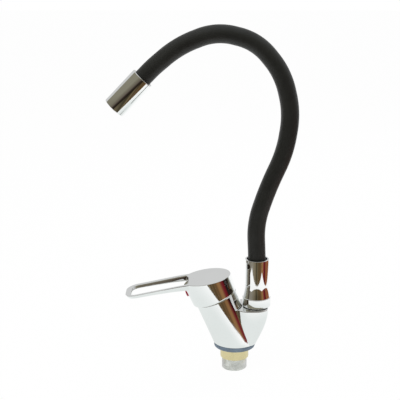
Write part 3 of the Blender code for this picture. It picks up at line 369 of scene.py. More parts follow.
MATERIALS = {}
COLLAR_LEAN = 0.055  # the collar mirrors as if its wall leaned over by this share
MARK_SPREAD = 0.0005  # width of the ramp between the index plug's two colours


def ramp_node(tree, value, stops):
    """A colour ramp of (position, colour or grey) stops; returns its colour socket."""
    node = tree.nodes.new("ShaderNodeValToRGB")
    tree.links.new(value, node.inputs["Fac"])
    band = node.color_ramp
    while len(band.elements) < len(stops):
        band.elements.new(0.5)
    for element, (position, colour) in zip(band.elements, stops):
        element.position = position
        grey = isinstance(colour, (int, float))
        element.color = (colour, colour, colour, 1) if grey else (*colour, 1)
    return node.outputs["Color"]


def math_node(tree, operation, *values):
    """One step of arithmetic on sockets and numbers; returns its socket."""
    node = tree.nodes.new("ShaderNodeMath")
    node.operation = operation
    for value, socket in zip(values, node.inputs):
        if isinstance(value, (int, float)):
            socket.default_value = value
        else:
            tree.links.new(value, socket)
    return node.outputs[0]


def object_axes(tree):
    """X, Y and Z of the object's own coordinates, as sockets."""
    place = tree.nodes.new("ShaderNodeTexCoord").outputs["Object"]
    axes = tree.nodes.new("ShaderNodeSeparateXYZ")
    tree.links.new(place, axes.inputs[0])
    return axes.outputs


class Finish:
    """A material in the making: one Principled shader with noise to vary it."""

    def __init__(self, name, colour, roughness, metallic=0.0):
        self.material = bpy.data.materials.new(name)
        self.material.use_nodes = True
        self.tree = self.material.node_tree
        self.shader = self.tree.nodes["Principled BSDF"]
        self.set("Base Color", (*colour, 1))
        self.set("Roughness", roughness)
        self.set("Metallic", metallic)
        self.material.diffuse_color = (*colour, 1)
        self.place = self.tree.nodes.new("ShaderNodeTexCoord").outputs["Object"]

    def set(self, socket, value):
        """Put a plain value on one of the shader's sockets."""
        self.shader.inputs[socket].default_value = value
        return self

    def link(self, value, socket):
        """Let another node's socket drive one of the shader's."""
        self.tree.links.new(value, self.shader.inputs[socket])
        return self

    def node(self, kind, **inputs):
        """A node with some of its sockets linked, each by its name."""
        node = self.tree.nodes.new(kind)
        for key, value in inputs.items():
            self.tree.links.new(value, node.inputs[key.title()])
        return node

    def mapped(self, scale):
        """Object coordinates, stretched."""
        node = self.node("ShaderNodeMapping", vector=self.place)
        node.inputs["Scale"].default_value = scale
        return node.outputs["Vector"]

    def noise(self, scale, detail=3.0, vector=None):
        """Noise on the object's coordinates; a larger scale is finer."""
        node = self.node("ShaderNodeTexNoise", vector=vector or self.place)
        node.inputs["Scale"].default_value = scale
        node.inputs["Detail"].default_value = detail
        return node.outputs["Fac"]

    def tint(self, noise, colour, share, places=(0.3, 0.5, 0.7)):
        """Let noise move the colour, darker and lighter by a share."""
        shades = [tuple(min(1, c * k) for c in colour) for k in (1 - share, 1, 1 + share)]
        return self.link(ramp_node(self.tree, noise, list(zip(places, shades))), "Base Color")

    def haze(self, noise, low, high, places=(0.3, 0.7)):
        """Let noise move the roughness between two values."""
        return self.link(ramp_node(self.tree, noise, list(zip(places, (low, high)))), "Roughness")

    def bump(self, height, distance, strength, under=None):
        """Bumps on the surface, over other bumps or a leaned normal."""
        node = self.node("ShaderNodeBump", height=height)
        node.inputs["Strength"].default_value = strength
        node.inputs["Distance"].default_value = distance
        if under:
            self.tree.links.new(under, node.inputs["Normal"])
        self.link(node.outputs["Normal"], "Normal")
        return node.outputs["Normal"]

    def leaned(self, lean):
        """The surface's own normal, turned down by a share."""
        node = self.node("ShaderNodeVectorMath")
        plain = self.node("ShaderNodeNewGeometry").outputs["Normal"]
        self.tree.links.new(plain, node.inputs[0])
        node.inputs[1].default_value = (0, 0, -lean)
        return node.outputs[0]


def chrome_finish(name, lean=0.0):
    """Polished chrome plate: slow waves in the polish, fine wiping marks, faint haze.

    A lean lets a turned wall mirror as if it leaned over by that share.
    """
    colour = sizes("faucet_colours").chrome
    finish = Finish(name, colour, 0.05, 1.0)
    finish.haze(finish.noise(70, 4), 0.035, 0.085, (0.35, 0.7))
    finish.tint(finish.noise(25), colour, 0.02)
    under = finish.leaned(lean) if lean else None
    waves = finish.bump(finish.noise(45, 1), 0.00002, 0.35, under)
    wiping = finish.noise(420, 2, finish.mapped((1, 1, 0.12)))
    finish.bump(wiping, 0.000003, 0.25, waves)
    return finish.material


def silicone_finish():
    """Matte charcoal silicone: fine grain, dusty patches, a slightly uneven skin."""
    colour = sizes("faucet_colours").hose
    finish = Finish("charcoal_silicone", colour, 0.5)
    finish.tint(finish.noise(38, 5), colour, 0.16, (0.3, 0.5, 0.75))
    finish.haze(finish.noise(120, 4), 0.42, 0.56)
    grain = finish.bump(finish.noise(1100, 2), 0.00002, 0.1)
    finish.bump(finish.noise(160, 2), 0.00008, 0.2, grain)
    finish.set("Sheen Weight", 0.12).set("Sheen Roughness", 0.4)
    return finish.material


def rubber_finish(name, colour, roughness):
    """Moulded rubber with a fine grain."""
    finish = Finish(name, colour, roughness)
    finish.tint(finish.noise(90, 4), colour, 0.14)
    finish.bump(finish.noise(1500, 3), 0.00006, 0.4)
    return finish.material


def brass_finish():
    """Turned bare brass: rings from the tool and faint tarnish."""
    colour = sizes("faucet_colours").brass
    finish = Finish("turned_brass", colour, 0.3, 1.0)
    finish.tint(finish.noise(60, 5), colour, 0.1, (0.3, 0.55, 0.7))
    finish.haze(finish.noise(200, 3), 0.24, 0.36)
    rings = finish.noise(900, 2, finish.mapped((0.05, 0.05, 1)))
    finish.bump(rings, 0.00001, 0.3)
    return finish.material


def steel_finish():
    """Plated machined steel: turning marks, and a little grey in places."""
    colour = (0.90, 0.90, 0.88)
    finish = Finish("machined_steel", colour, 0.27, 1.0)
    finish.tint(finish.noise(110, 5), colour, 0.12)
    rings = finish.noise(1300, 2, finish.mapped((0.06, 0.06, 1)))
    finish.bump(rings, 0.00002, 0.5)
    return finish.material


def plastic_finish(name, colour, roughness):
    """Moulded plastic or lapped ceramic: a soft gloss with a slightly uneven skin."""
    finish = Finish(name, colour, roughness)
    finish.tint(finish.noise(70, 3), colour, 0.04)
    finish.haze(finish.noise(300, 3), roughness, roughness + 0.1)
    finish.bump(finish.noise(700, 2), 0.00002, 0.3)
    return finish.material


def mark_finish():
    """The index plug's glossy lacquer, warm on one side and cold on the other."""
    colours = sizes("faucet_colours")
    finish = Finish("index_lacquer", colours.warm_mark, 0.18)
    side = object_axes(finish.tree)["Y"]
    across = math_node(finish.tree, "MULTIPLY_ADD", side, 1 / MARK_SPREAD, 0.5)
    split = [(0.45, colours.warm_mark), (0.55, colours.cold_mark)]
    finish.link(ramp_node(finish.tree, across, split), "Base Color")
    finish.haze(finish.noise(500, 2), 0.14, 0.24)
    finish.set("Coat Weight", 0.5).set("Coat Roughness", 0.08)
    return finish.material


def make_materials():
    """Every finish of the faucet, by the record's slot or by its own name."""
    gasket = sizes("faucet_colours").gasket
    MATERIALS["chrome"] = chrome_finish("polished_chrome")
    MATERIALS["collar_chrome"] = chrome_finish("turned_chrome", COLLAR_LEAN)
    MATERIALS["dark_silicone"] = silicone_finish()
    MATERIALS["gasket"] = rubber_finish("blue_grey_rubber", gasket, 0.55)
    MATERIALS["black_rubber"] = rubber_finish("black_rubber", (0.02, 0.02, 0.021), 0.65)
    MATERIALS["brass"] = brass_finish()
    MATERIALS["steel"] = steel_finish()
    MATERIALS["inner_tube"] = plastic_finish("hose_liner", (0.75, 0.74, 0.70), 0.45)
    MATERIALS["white_plastic"] = plastic_finish("off_white_acetal", (0.82, 0.82, 0.80), 0.42)
    MATERIALS["ceramic"] = plastic_finish("lapped_ceramic", (0.88, 0.87, 0.84), 0.16)
    MATERIALS["index_red"] = mark_finish()


# Body

BLOCK_FOOT_FRONT = 0.005
BLOCK_FOOT_BACK = 0.0243
BLOCK_FOOT_HALF_WIDTH = 0.0165
BLOCK_SQUARENESS = 1.2
BLOCK_EDGE = 0.0006
BLOCK_EDGE_HEIGHT = 0.0010
BLOCK_EDGE_STEPS = 6
BLOCK_RINGS = 28
BLOCK_SIDES = 160
BARREL_FLARE = 0.0009
BARREL_FLARE_FOOT = 0.014
SHOULDER_RADIUS = 0.0257  # the handle's hollow turns round this ball
BARREL_FOOT_TAPER = 0.002
CHAMBER_RADIUS = 0.0204
CHAMBER_FLOOR = 0.020
DOME_ROOM = 0.0229  # the chamber's round top, a ball about the pivot too
DOME_TIP = 0.001
RING_SEAT_RADIUS = 0.0127  # the recess for the ring under the spout collar
RING_SEAT_DEPTH = 0.0008
SPOUT_BORE = 0.0083
SPOUT_BORE_FLOOR = 0.027
BOSS_RADIUS = 0.0106
BOSS_DROP = 0.002
RECESS_TOP = BODY_BOTTOM + 0.0079 + GAP
BOSS_FACE = RECESS_TOP - BOSS_DROP
SHANK_RADIUS = 0.01385
INLET_THREAD = 0.0045
INLET_OFFSET = 0.00525
INLET_DEPTH = 0.0085


def squared_circle(angle, power):
    """A point of a unit circle that goes towards a square as the power rises over 2."""
    x, y = cos(angle), sin(angle)
    return (
        abs(x) ** (2 / power) * (1 if x > 0 else -1),
        abs(y) ** (2 / power) * (1 if y > 0 else -1),
    )


def block_form():
    """The rear block: a round foot that swells to a squarish flat top."""
    size = sizes("faucet_body")
    form = bmesh.new()
    bmesh.ops.create_circle(form, segments=BLOCK_SIDES, radius=1, cap_ends=True)
    cap = form.faces[:][0]
    rings = [(0, 0, BODY_BOTTOM - OVERRUN)]
    shoulder = size.block_top - BLOCK_EDGE_HEIGHT
    for k in range(BLOCK_RINGS + 1):
        share = k / BLOCK_RINGS
        rings.append((share, 0, BODY_BOTTOM + (shoulder - BODY_BOTTOM) * share))
    for k in range(1, BLOCK_EDGE_STEPS + 1):
        angle = k / BLOCK_EDGE_STEPS * pi / 2
        height = shoulder + BLOCK_EDGE_HEIGHT * sin(angle)
        rings.append((1, BLOCK_EDGE * (1 - cos(angle)), height))
    for k, ring in enumerate(rings):
        if k:
            grown = bmesh.ops.extrude_discrete_faces(form, faces=[cap])["faces"]
            cap = grown[0]
        lay_ring(cap, size, *ring)
    bottom = [edge for edge in form.edges if edge.is_boundary]
    if bottom:
        bmesh.ops.holes_fill(form, edges=bottom)
    return closed_up(form)


def lay_ring(cap, size, share, inset, height):
    """Put a face's corners on the block's outline at a share of its height."""
    swell = sin(share * pi / 2)
    front = BLOCK_FOOT_FRONT + (size.block_front - BLOCK_FOOT_FRONT) * share + inset
    back = BLOCK_FOOT_BACK + (size.block_back - BLOCK_FOOT_BACK) * swell - inset
    half = BLOCK_FOOT_HALF_WIDTH + (size.block_half_width - BLOCK_FOOT_HALF_WIDTH) * swell - inset
    power = 2 + BLOCK_SQUARENESS * share
    for k, corner in enumerate(cap.verts):
        x, y = squared_circle(2 * pi * k / len(cap.verts), power)
        corner.co = ((front + back) / 2 + (back - front) / 2 * x, half * y, height)


def ball_arc(ball, start, end, steps=24):
    """Points of a ball about the pivot, between two distances from the barrel's axis."""
    first, last = asin(start / ball), asin(end / ball)
    turns = [first + (last - first) * k / steps for k in range(steps + 1)]
    return [(ball * sin(turn), PIVOT_HEIGHT + ball * cos(turn)) for turn in turns]


def barrel_form(radius):
    """The leaning barrel, with a round shoulder that the handle turns over."""
    shoulder = ball_arc(SHOULDER_RADIUS, CHAMBER_RADIUS, radius + BARREL_FLARE)
    outline = [
        (0, shoulder[0][1]),
        *shoulder,
        (radius, BARREL_FLARE_FOOT),
        (radius, 0),
        (radius - BARREL_FOOT_TAPER, -radius),
        (0, -radius),
    ]
    return spun(outline, BARREL)


def chamber_form():
    """The room for the cartridge in the barrel, with a round top."""
    outline = [
        (0, PIVOT_HEIGHT + DOME_ROOM),
        *ball_arc(DOME_ROOM, DOME_TIP, CHAMBER_RADIUS),
        (CHAMBER_RADIUS, CHAMBER_FLOOR),
        (0, CHAMBER_FLOOR),
    ]
    return spun(outline, BARREL)


def recess_form():
    """The ring-shaped recess for the shank, round the boss that the inlets open in."""
    outline = [
        (0, BOSS_FACE),
        (BOSS_RADIUS, BOSS_FACE),
        (BOSS_RADIUS, RECESS_TOP),
        (SHANK_RADIUS + GAP, RECESS_TOP),
        (SHANK_RADIUS + GAP, BODY_BOTTOM - OVERRUN),
        (0, BODY_BOTTOM - OVERRUN),
    ]
    return spun(outline)


def spout_socket(block_top):
    """The bore that the spout turns in, with a seat for its ring."""
    outline = [
        (0, block_top + OVERRUN),
        (RING_SEAT_RADIUS, block_top + OVERRUN),
        (RING_SEAT_RADIUS, block_top - RING_SEAT_DEPTH),
        (SPOUT_BORE, block_top - RING_SEAT_DEPTH),
        (SPOUT_BORE, SPOUT_BORE_FLOOR),
        (0, SPOUT_BORE_FLOOR),
    ]
    return spun(outline, SPOUT)


def inlet_form(side):
    """One supply inlet in the boss."""
    place = moved(y=side * INLET_OFFSET)
    return rod(INLET_THREAD, BOSS_FACE + INLET_DEPTH, BOSS_FACE - OVERRUN, place, FINE_STEPS)


def body_form():
    """Barrel and block as one casting, with its hollows."""
    size = sizes("faucet_body")
    reach = 4 * size.barrel_radius
    below = box_form((reach, reach, reach), (0, 0, BODY_BOTTOM - reach / 2))
    return combined(
        "body_shell", barrel_form(size.barrel_radius), ("UNION", block_form()),
        ("DIFFERENCE", below), ("DIFFERENCE", chamber_form()), ("DIFFERENCE", recess_form()),
        ("DIFFERENCE", spout_socket(size.block_top)),
        ("DIFFERENCE", inlet_form(-1)), ("DIFFERENCE", inlet_form(1)),
    )


class FAUCET_OT_body(bpy.types.Operator):
    """Make the chrome body"""

    bl_idname = "faucet.body"
    bl_label = "Body"

    def execute(self, context):
        finished(
            "body_shell", body_form(), "base", MATERIALS["chrome"], "chrome", "body_casting",
            flat_faces=True,
        )
        return {"FINISHED"}


# Deck fastening

GASKET_BULGE = 0.0005
GASKET_ROUND = 0.0012
BRASS_ROUND = 0.0007
BRASS_BORE_ROUND = 0.0003
SHANK_BORE = 0.011
SHANK_CHAMFER = 0.0004
THREAD_PITCH = 0.0015
THREAD_DEPTH = 0.0009
THREAD_PROFILE = [(0, 0), (0.12, 0), (0.5, 1), (0.62, 1), (1, 0)]  # shares of pitch and depth
THREAD_FOOT = 0.0008
THREAD_START = 0.0002
THREAD_TOP = -0.006
THREAD_RUN_OUT = 0.001


class FAUCET_OT_deck_fastening(bpy.types.Operator):
    """Make the gasket, the brass collar and the threaded shank"""

    bl_idname = "faucet.deck_fastening"
    bl_label = "Deck fastening"

    def execute(self, context):
        gasket_radius = GASKET_HIGH.x + GASKET_BULGE
        brass_low, brass_high = BRASS_BOX
        bore = brass_high.x + GAP
        gasket = spun(
            [
                (bore, GASKET_HIGH.z),
                (gasket_radius, GASKET_HIGH.z, GASKET_ROUND),
                (gasket_radius, GASKET_LOW.z, GASKET_ROUND),
                (bore, GASKET_LOW.z),
            ],
            bored=True,
        )
        finished("gasket_ring", gasket, "base", MATERIALS["gasket"], "gasket", "deck_gasket")
        bore = SHANK_BOX[1].x + GAP
        collar = spun(
            [
                (bore, brass_high.z),
                (brass_high.x, brass_high.z),
                (brass_high.x, brass_low.z, BRASS_ROUND),
                (bore, brass_low.z, BRASS_BORE_ROUND),
            ],
            bored=True,
        )
        finished("brass_bush", collar, "base", MATERIALS["brass"], "brass", "brass_collar")
        finished(
            "shank_with_thread", shank_form(), "base", MATERIALS["steel"], "steel",
            "threaded_shank",
        )
        return {"FINISHED"}


def thread_form(low):
    """A fine thread wound round the shank, cut flat at both ends."""
    turns = int((THREAD_TOP - low - THREAD_FOOT) / THREAD_PITCH)
    form = bmesh.new()
    points = []
    for share, rise in THREAD_PROFILE:
        radius = SHANK_RADIUS - THREAD_DEPTH * (1 - rise)
        points.append(form.verts.new((radius, 0, low + THREAD_PITCH * (share - 1))))
    edges = [form.edges.new(pair) for pair in zip(points, points[1:])]
    bmesh.ops.spin(
        form, geom=points + edges, cent=(0, 0, 0), axis=(0, 0, 1),
        angle=2 * pi * (turns + 2), dvec=(0, 0, THREAD_PITCH / FINE_STEPS),
        steps=(turns + 2) * FINE_STEPS,
    )
    bmesh.ops.remove_doubles(form, verts=form.verts, dist=MERGE)
    for height, outward in ((low + THREAD_START, -1), (low + THREAD_PITCH * (turns + 0.5), 1)):
        cut = bmesh.ops.bisect_plane(
            form, geom=form.verts[:] + form.edges[:] + form.faces[:],
            plane_co=(0, 0, height), plane_no=(0, 0, outward), clear_outer=True,
        )
        rim = [g for g in cut["geom_cut"] if isinstance(g, bmesh.types.BMEdge)]
        bmesh.ops.holes_fill(form, edges=rim)
    return closed_up(form)


def shank_form():
    """The shank: a threaded tube, plain where the body holds it."""
    low, high = SHANK_BOX[0].z, SHANK_BOX[1].z
    plain = SHANK_RADIUS - THREAD_DEPTH
    core = spun(
        [
            (0, high),
            (SHANK_RADIUS, high, SHANK_CHAMFER),
            (SHANK_RADIUS, THREAD_TOP),
            (plain, THREAD_TOP - THREAD_RUN_OUT),
            (plain, low + SHANK_CHAMFER),
            (plain - SHANK_CHAMFER, low),
            (0, low),
        ],
    )
    bore = rod(SHANK_BORE, high + OVERRUN, low - OVERRUN)
    return combined(
        "shank_with_thread", core, ("UNION", thread_form(low)), ("DIFFERENCE", bore)
    )


# Handle, in the pivot's frame; the lever is made in its top plane's frame

SKIRT_SPARE = 0.012  # how far the skirt passes the top plane's middle before it is cut
HANDLE_EDGE = 0.0005
LEVER_EDGE = 0.0008
LEVER_ROOT = -0.008
LEVER_TIP_CORNER = 0.013
LEVER_SLAB = 0.003  # thickness of the flat slab before it gets its own
LEVER_THICKNESS = [(-0.092, 0.0038), (-0.062, 0.0043), (-0.041, 0.0053), (-0.026, 0.0065)]
LEVER_DROOP = tan(radians(2.2))
LEVER_DROOP_START = -0.032
LEVER_DROOP_BLEND = 0.010
LEVER_STATIONS = 28
SIDE_DRAFT = 0.0026  # how far the lever's outer side leans in from top to bottom
SLOT_DRAFT = 0.0014
SLOT_MARGIN = 0.0065
SLOT_ROOT = -0.0215
SLOT_CORNER = 0.006
POCKET_ROOM = 0.001
POCKET_DEPTH = 0.006
CAVITY_STEPS = 48
HUB_RADIUS = 0.0088
HOLLOW_RADIUS = 0.0175
HOLLOW_TOP = 0.0285
STEM_SOCKET_SIDE = 0.008
STEM_SOCKET_TOP = 0.030
STEM_SOCKET_DEPTH = 0.006
PLUG_HEIGHT = 0.0276
PLUG_FRAME = moved(z=PLUG_HEIGHT) @ tilted(-pi / 2)
PLUG_PROUD = 0.0019
PLUG_DOME = [(0, 1), (0.5, 0.95), (1, 0.75)]  # shares of its radius and of how proud it is
PLUG_ROUND = 0.0006
PLUG_DEPTH = 0.0047
PLUG_SEAT = 0.005
PLUG_ROOM = 0.0002
SCREW_HOLE_RADIUS = 0.0023
SCREW_HOLE_START = 0.001


def skirt_form(size):
    """The round skirt in the handle plane's frame, cut flat by that plane."""
    rim = SKIRT_RIM_RISE
    top = HANDLE_TOP_RISE + SKIRT_SPARE
    form = spun(
        [
            (0, top),
            (size.skirt_radius + SKIRT_FLARE * (top - rim), top),
            (size.skirt_radius, rim, SKIRT_EDGE),
            (0, rim),
        ],
        moved(x=-SKIRT_FORWARD),
    )
    bmesh.ops.transform(form, matrix=HANDLE_TOP.inverted(), verts=form.verts)
    cut = bmesh.ops.bisect_plane(
        form, geom=form.verts[:] + form.edges[:] + form.faces[:],
        plane_co=(0, 0, 0), plane_no=(0, 0, 1), clear_outer=True,
    )
    rim_edges = [g for g in cut["geom_cut"] if isinstance(g, bmesh.types.BMEdge)]
    for edge in rim_edges:
        for vert in edge.verts:
            vert.co.z = 0
    bmesh.ops.holes_fill(form, edges=rim_edges)
    closed_up(form)
    top_edges = [e for e in form.edges if all(abs(v.co.z) < MERGE for v in e.verts)]
    bevel(form, top_edges, HANDLE_EDGE, 4)
    for vert in form.verts:
        if abs(vert.co.z) < MERGE:
            vert.co.z = 0
    return form


def rounded_outline(corners, steps=10):
    """Points of a flat outline; each corner is (x, y, radius of its rounding)."""
    points = []
    for i, (x, y, radius) in enumerate(corners):
        here = Vector((x, y))
        before = (Vector(corners[i - 1][:2]) - here).normalized()
        after = (Vector(corners[(i + 1) % len(corners)][:2]) - here).normalized()
        if not radius:
            points.append(here)
            continue
        half = before.angle(after) / 2
        reach = radius / sin(half)
        centre = here + (before + after).normalized() * reach
        first = (here + before * reach * cos(half) - centre).normalized()
        last = (here + after * reach * cos(half) - centre).normalized()
        for k in range(steps + 1):
            points.append(centre + radius * first.slerp(last, k / steps))
    return points


def lever_form(size):
    """The loop lever: a slab with a slot, which droops and whose sides lean in."""
    tip = -size.reach
    wide = size.half_width
    slot_end = tip + SLOT_MARGIN
    outer = rounded_outline(
        [
            (LEVER_ROOT, -wide, 0),
            (LEVER_ROOT, wide, 0),
            (tip, wide, LEVER_TIP_CORNER),
            (tip, -wide, LEVER_TIP_CORNER),
        ]
    )
    slot = rounded_outline(slot_corners(SLOT_ROOT, slot_end, size.slot_half_width, SLOT_CORNER))
    form = slab_form(outer, slot)
    for k in range(1, LEVER_STATIONS):
        bmesh.ops.bisect_plane(
            form, geom=form.verts[:] + form.edges[:] + form.faces[:],
            plane_co=(LEVER_ROOT + (tip - LEVER_ROOT) * k / LEVER_STATIONS, 0, 0),
            plane_no=(1, 0, 0),
        )
    shape_lever(form, size, slot_end)
    return form


def slab_form(*outlines):
    """A flat slab with rounded edges inside an outline and round the others."""
    curve = bpy.data.curves.new("lever_form", "CURVE")
    curve.dimensions = "2D"
    curve.fill_mode = "BOTH"
    curve.extrude = LEVER_SLAB / 2 - LEVER_EDGE
    curve.bevel_depth = LEVER_EDGE
    curve.bevel_resolution = 3
    curve.offset = -LEVER_EDGE
    for outline in outlines:
        spline = curve.splines.new("POLY")
        spline.points.add(len(outline) - 1)
        for point, (x, y) in zip(spline.points, outline):
            point.co = (x, y, 0, 1)
        spline.use_cyclic_u = True
    mesh = realised(loose_object(curve))
    form = bmesh.new()
    form.from_mesh(mesh)
    bpy.data.meshes.remove(mesh)
    bmesh.ops.translate(form, vec=(0, 0, -LEVER_SLAB / 2), verts=form.verts)
    return closed_up(form)


def slot_corners(root, end, half_width, corner):
    """Corners of the slot's outline, or of a cutter like it."""
    return [
        (root, -half_width, corner),
        (root, half_width, corner),
        (end, half_width, corner),
        (end, -half_width, corner),
    ]


def between(value, marks):
    """Read a value off straight lines between (from, to) marks."""
    for (low, low_to), (high, high_to) in zip(marks, marks[1:]):
        if value <= high or (high, high_to) == marks[-1]:
            return low_to + (high_to - low_to) * (value - low) / (high - low)


def shape_lever(form, size, slot_end):
    """Give the flat slab its thickness, its droop and its leaning sides."""
    slot_half = size.slot_half_width
    across = [(0, 0), (slot_half, -SLOT_DRAFT), (size.half_width, -SIDE_DRAFT)]
    tip = -size.reach
    ahead = [
        (tip, SIDE_DRAFT), (slot_end, SLOT_DRAFT), (SLOT_ROOT, -SLOT_DRAFT), (LEVER_ROOT, 0)
    ]
    for vert in form.verts:
        x, y, z = vert.co
        depth = max(0, -z / LEVER_SLAB)
        y += between(abs(y), across) * depth * (1 if y > 0 else -1)
        x += between(x, ahead) * depth
        vert.co = (x, y, -depth * lever_thickness(x) - lever_drop(x))


def lever_drop(x):
    """How far the lever's top lies under the cap's plane at a place along it."""
    past = LEVER_DROOP_START - x
    half = LEVER_DROOP_BLEND / 2
    if past < -half:
        return 0
    if past > half:
        return past * LEVER_DROOP
    return (past + half) ** 2 / (4 * half) * LEVER_DROOP


def prism(outline, low, high):
    """An upright solid on a flat outline."""
    form = bmesh.new()
    face = form.faces.new([form.verts.new((x, y, low)) for x, y in outline])
    grown = bmesh.ops.extrude_face_region(form, geom=[face], use_keep_orig=True)
    top = [g for g in grown["geom"] if isinstance(g, bmesh.types.BMVert)]
    bmesh.ops.translate(form, vec=(0, 0, high - low), verts=top)
    bmesh.ops.recalc_face_normals(form, faces=form.faces)
    return form


def lever_thickness(x):
    """Thickness of the lever at a place along it."""
    marks = LEVER_THICKNESS
    return between(min(max(x, marks[0][0]), marks[-1][0]), marks)


def skirt_front(size):
    """How far the skirt reaches in front of the pivot at the plug's height."""
    return SKIRT_FORWARD + size.skirt_radius + SKIRT_FLARE * (PLUG_HEIGHT - SKIRT_RIM_RISE)


def casting_form(size):
    """Skirt and loop lever as one solid casting."""
    wide = size.slot_half_width + POCKET_ROOM
    pocket = slot_corners(
        SLOT_ROOT + POCKET_ROOM, 2 * SLOT_ROOT, wide, SLOT_CORNER + POCKET_ROOM
    )
    casting = combined(
        "handle_casting", skirt_form(size),
        ("DIFFERENCE", prism(rounded_outline(pocket), -POCKET_DEPTH, OVERRUN)),
        ("UNION", lever_form(size)),
    )
    bmesh.ops.transform(casting, matrix=HANDLE_TOP, verts=casting.verts)
    return casting


def cavity_ball():
    """The ball that hollows the handle, round the pivot."""
    turns = [pi * k / CAVITY_STEPS for k in range(1, CAVITY_STEPS)]
    side = [(HANDLE_CAVITY * sin(turn), HANDLE_CAVITY * cos(turn)) for turn in turns]
    return spun([(0, HANDLE_CAVITY), *side, (0, -HANDLE_CAVITY)])


def handle_form(size):
    """The handle with its hollows: room for the cartridge, the plug, the screw and the stem."""
    hollow = spun(
        [(HUB_RADIUS, HOLLOW_TOP), (HOLLOW_RADIUS, HOLLOW_TOP), (HOLLOW_RADIUS, 0), (HUB_RADIUS, 0)],
        bored=True,
    )
    front = skirt_front(size)
    seat = front - PLUG_SEAT
    plug_hole = rod(
        size.plug_radius + PLUG_ROOM, front + OVERRUN, seat, PLUG_FRAME, FINE_STEPS
    )
    screw_hole = rod(SCREW_HOLE_RADIUS, seat + SCREW_HOLE_START, 0, PLUG_FRAME, FINE_STEPS)
    socket = box_form(
        (STEM_SOCKET_SIDE, STEM_SOCKET_SIDE, STEM_SOCKET_DEPTH),
        (0, 0, STEM_SOCKET_TOP - STEM_SOCKET_DEPTH / 2),
    )
    return combined(
        "handle_casting", casting_form(size), ("DIFFERENCE", cavity_ball()),
        ("DIFFERENCE", hollow), ("DIFFERENCE", plug_hole), ("DIFFERENCE", screw_hole),
        ("DIFFERENCE", socket),
    )


def plug_form(size):
    """The index plug, slightly domed, in its hole."""
    front = skirt_front(size)
    dome = [
        (size.plug_radius * across, front + PLUG_PROUD * out) for across, out in PLUG_DOME
    ]
    dome[-1] = (*dome[-1], PLUG_ROUND)
    back = front - PLUG_DEPTH
    outline = [*dome, (size.plug_radius, back), (0, back)]
    return spun(outline, PIVOT @ PLUG_FRAME, FINE_STEPS)


class FAUCET_OT_handle(bpy.types.Operator):
    """Make the loop handle and its index plug"""

    bl_idname = "faucet.handle"
    bl_label = "Handle"

    def execute(self, context):
        size = sizes("faucet_handle")
        form = handle_form(size)
        bmesh.ops.transform(form, matrix=PIVOT, verts=form.verts)
        finished(
            "handle_casting", form, "lever", MATERIALS["chrome"], "chrome", "handle",
            flat_faces=True,
        )
        finished(
            "index_cap", plug_form(size), "lever", MATERIALS["index_red"], "index_red",
            "index_plug",
        )
        return {"FINISHED"}


# Spout collar

COLLAR_TOP = 0.1013
COLLAR_LOW = 0.0476
COLLAR_CUP = 0.0112  # radius of the cup that the hose stands in
COLLAR_CUP_FLOOR = 0.058
STEM_RADIUS = 0.0080
STEM_BORE = 0.0052
STEM_LOW = 0.0295
FLANGE_RADIUS = 0.0155
COLLAR_OUTLINE = [  # from the cup's rim down the outside and up the bore
    (COLLAR_CUP, COLLAR_TOP, 0.0003),
    (0.01305, COLLAR_TOP, 0.0005),
    (0.01305, 0.0710),
    (0.01312, 0.0694),
    (0.01330, 0.0673),
    (0.01360, 0.0652),
    (0.01402, 0.0628),
    (0.01450, 0.0603),
    (0.01495, 0.0579),
    (FLANGE_RADIUS, 0.0575, 0.0002),
    (FLANGE_RADIUS, COLLAR_LOW, 0.0006),
    (STEM_RADIUS, COLLAR_LOW),
    (STEM_RADIUS, STEM_LOW),
    (STEM_BORE, STEM_LOW),
    (STEM_BORE, COLLAR_CUP_FLOOR),
    (COLLAR_CUP, COLLAR_CUP_FLOOR),
]


class FAUCET_OT_spout_collar(bpy.types.Operator):
    """Make the chrome collar that the hose stands in"""

    bl_idname = "faucet.spout_collar"
    bl_label = "Spout collar"

    def execute(self, context):
        finished(
            "collar_turned", spun(COLLAR_OUTLINE, SPOUT, bored=True), "spout",
            MATERIALS["collar_chrome"], "chrome", "spout_collar",
        )
        return {"FINISHED"}


# Hose

def smooth_curve(turn):
    """Length of the curve between two bend points that keeps them where they are."""
    half = abs(turn) / 2
    fullness = sin(half) / half
    packed_curve = HOSE_STRETCH - 2 * BEND_STRAIGHT
    chord = packed_curve * fullness + 2 * BEND_STRAIGHT * cos(half)
    return (chord - 2 * SKIN_STRAIGHT * cos(half)) / fullness


def hose_runs():
    """The hose's middle line as (length, turn) runs, and how far along the bend points are."""
    runs = [(HOSE_STANDS, 0), (HOSE_FIRST_CURVE, HOSE_TURNS[0]), (BEND_STRAIGHT, 0)]
    bends = [sum(length for length, _ in runs)]
    for turn in HOSE_TURNS[1:-1]:
        curve = smooth_curve(turn)
        runs += [(SKIN_STRAIGHT, 0), (curve, turn), (SKIN_STRAIGHT, 0)]
        bends.append(bends[-1] + 2 * SKIN_STRAIGHT + curve)
    runs += [(BEND_STRAIGHT, 0), (HOSE_LAST_CURVE, HOSE_TURNS[-1]), (BEND_STRAIGHT, 0)]
    return runs, bends


HOSE_RUNS, BENDS = hose_runs()
HOSE_LENGTH = sum(length for length, _ in HOSE_RUNS)


def along(length, turn, distance):
    """The frame after a distance along a run that turns evenly."""
    if not turn:
        return moved(z=distance)
    radius = length / turn
    angle = distance / radius
    return moved(x=radius * (1 - cos(angle)), z=radius * sin(angle)) @ tilted(angle)


def hose_frame(distance):
    """The frame at a distance along the hose; past its ends it goes straight on."""
    place = SPOUT @ moved(z=HOSE_FOOT)
    for length, turn in HOSE_RUNS:
        if distance <= length:
            return place @ along(length, turn, distance)
        place = place @ along(length, turn, length)
        distance -= length
    return place @ moved(z=distance)


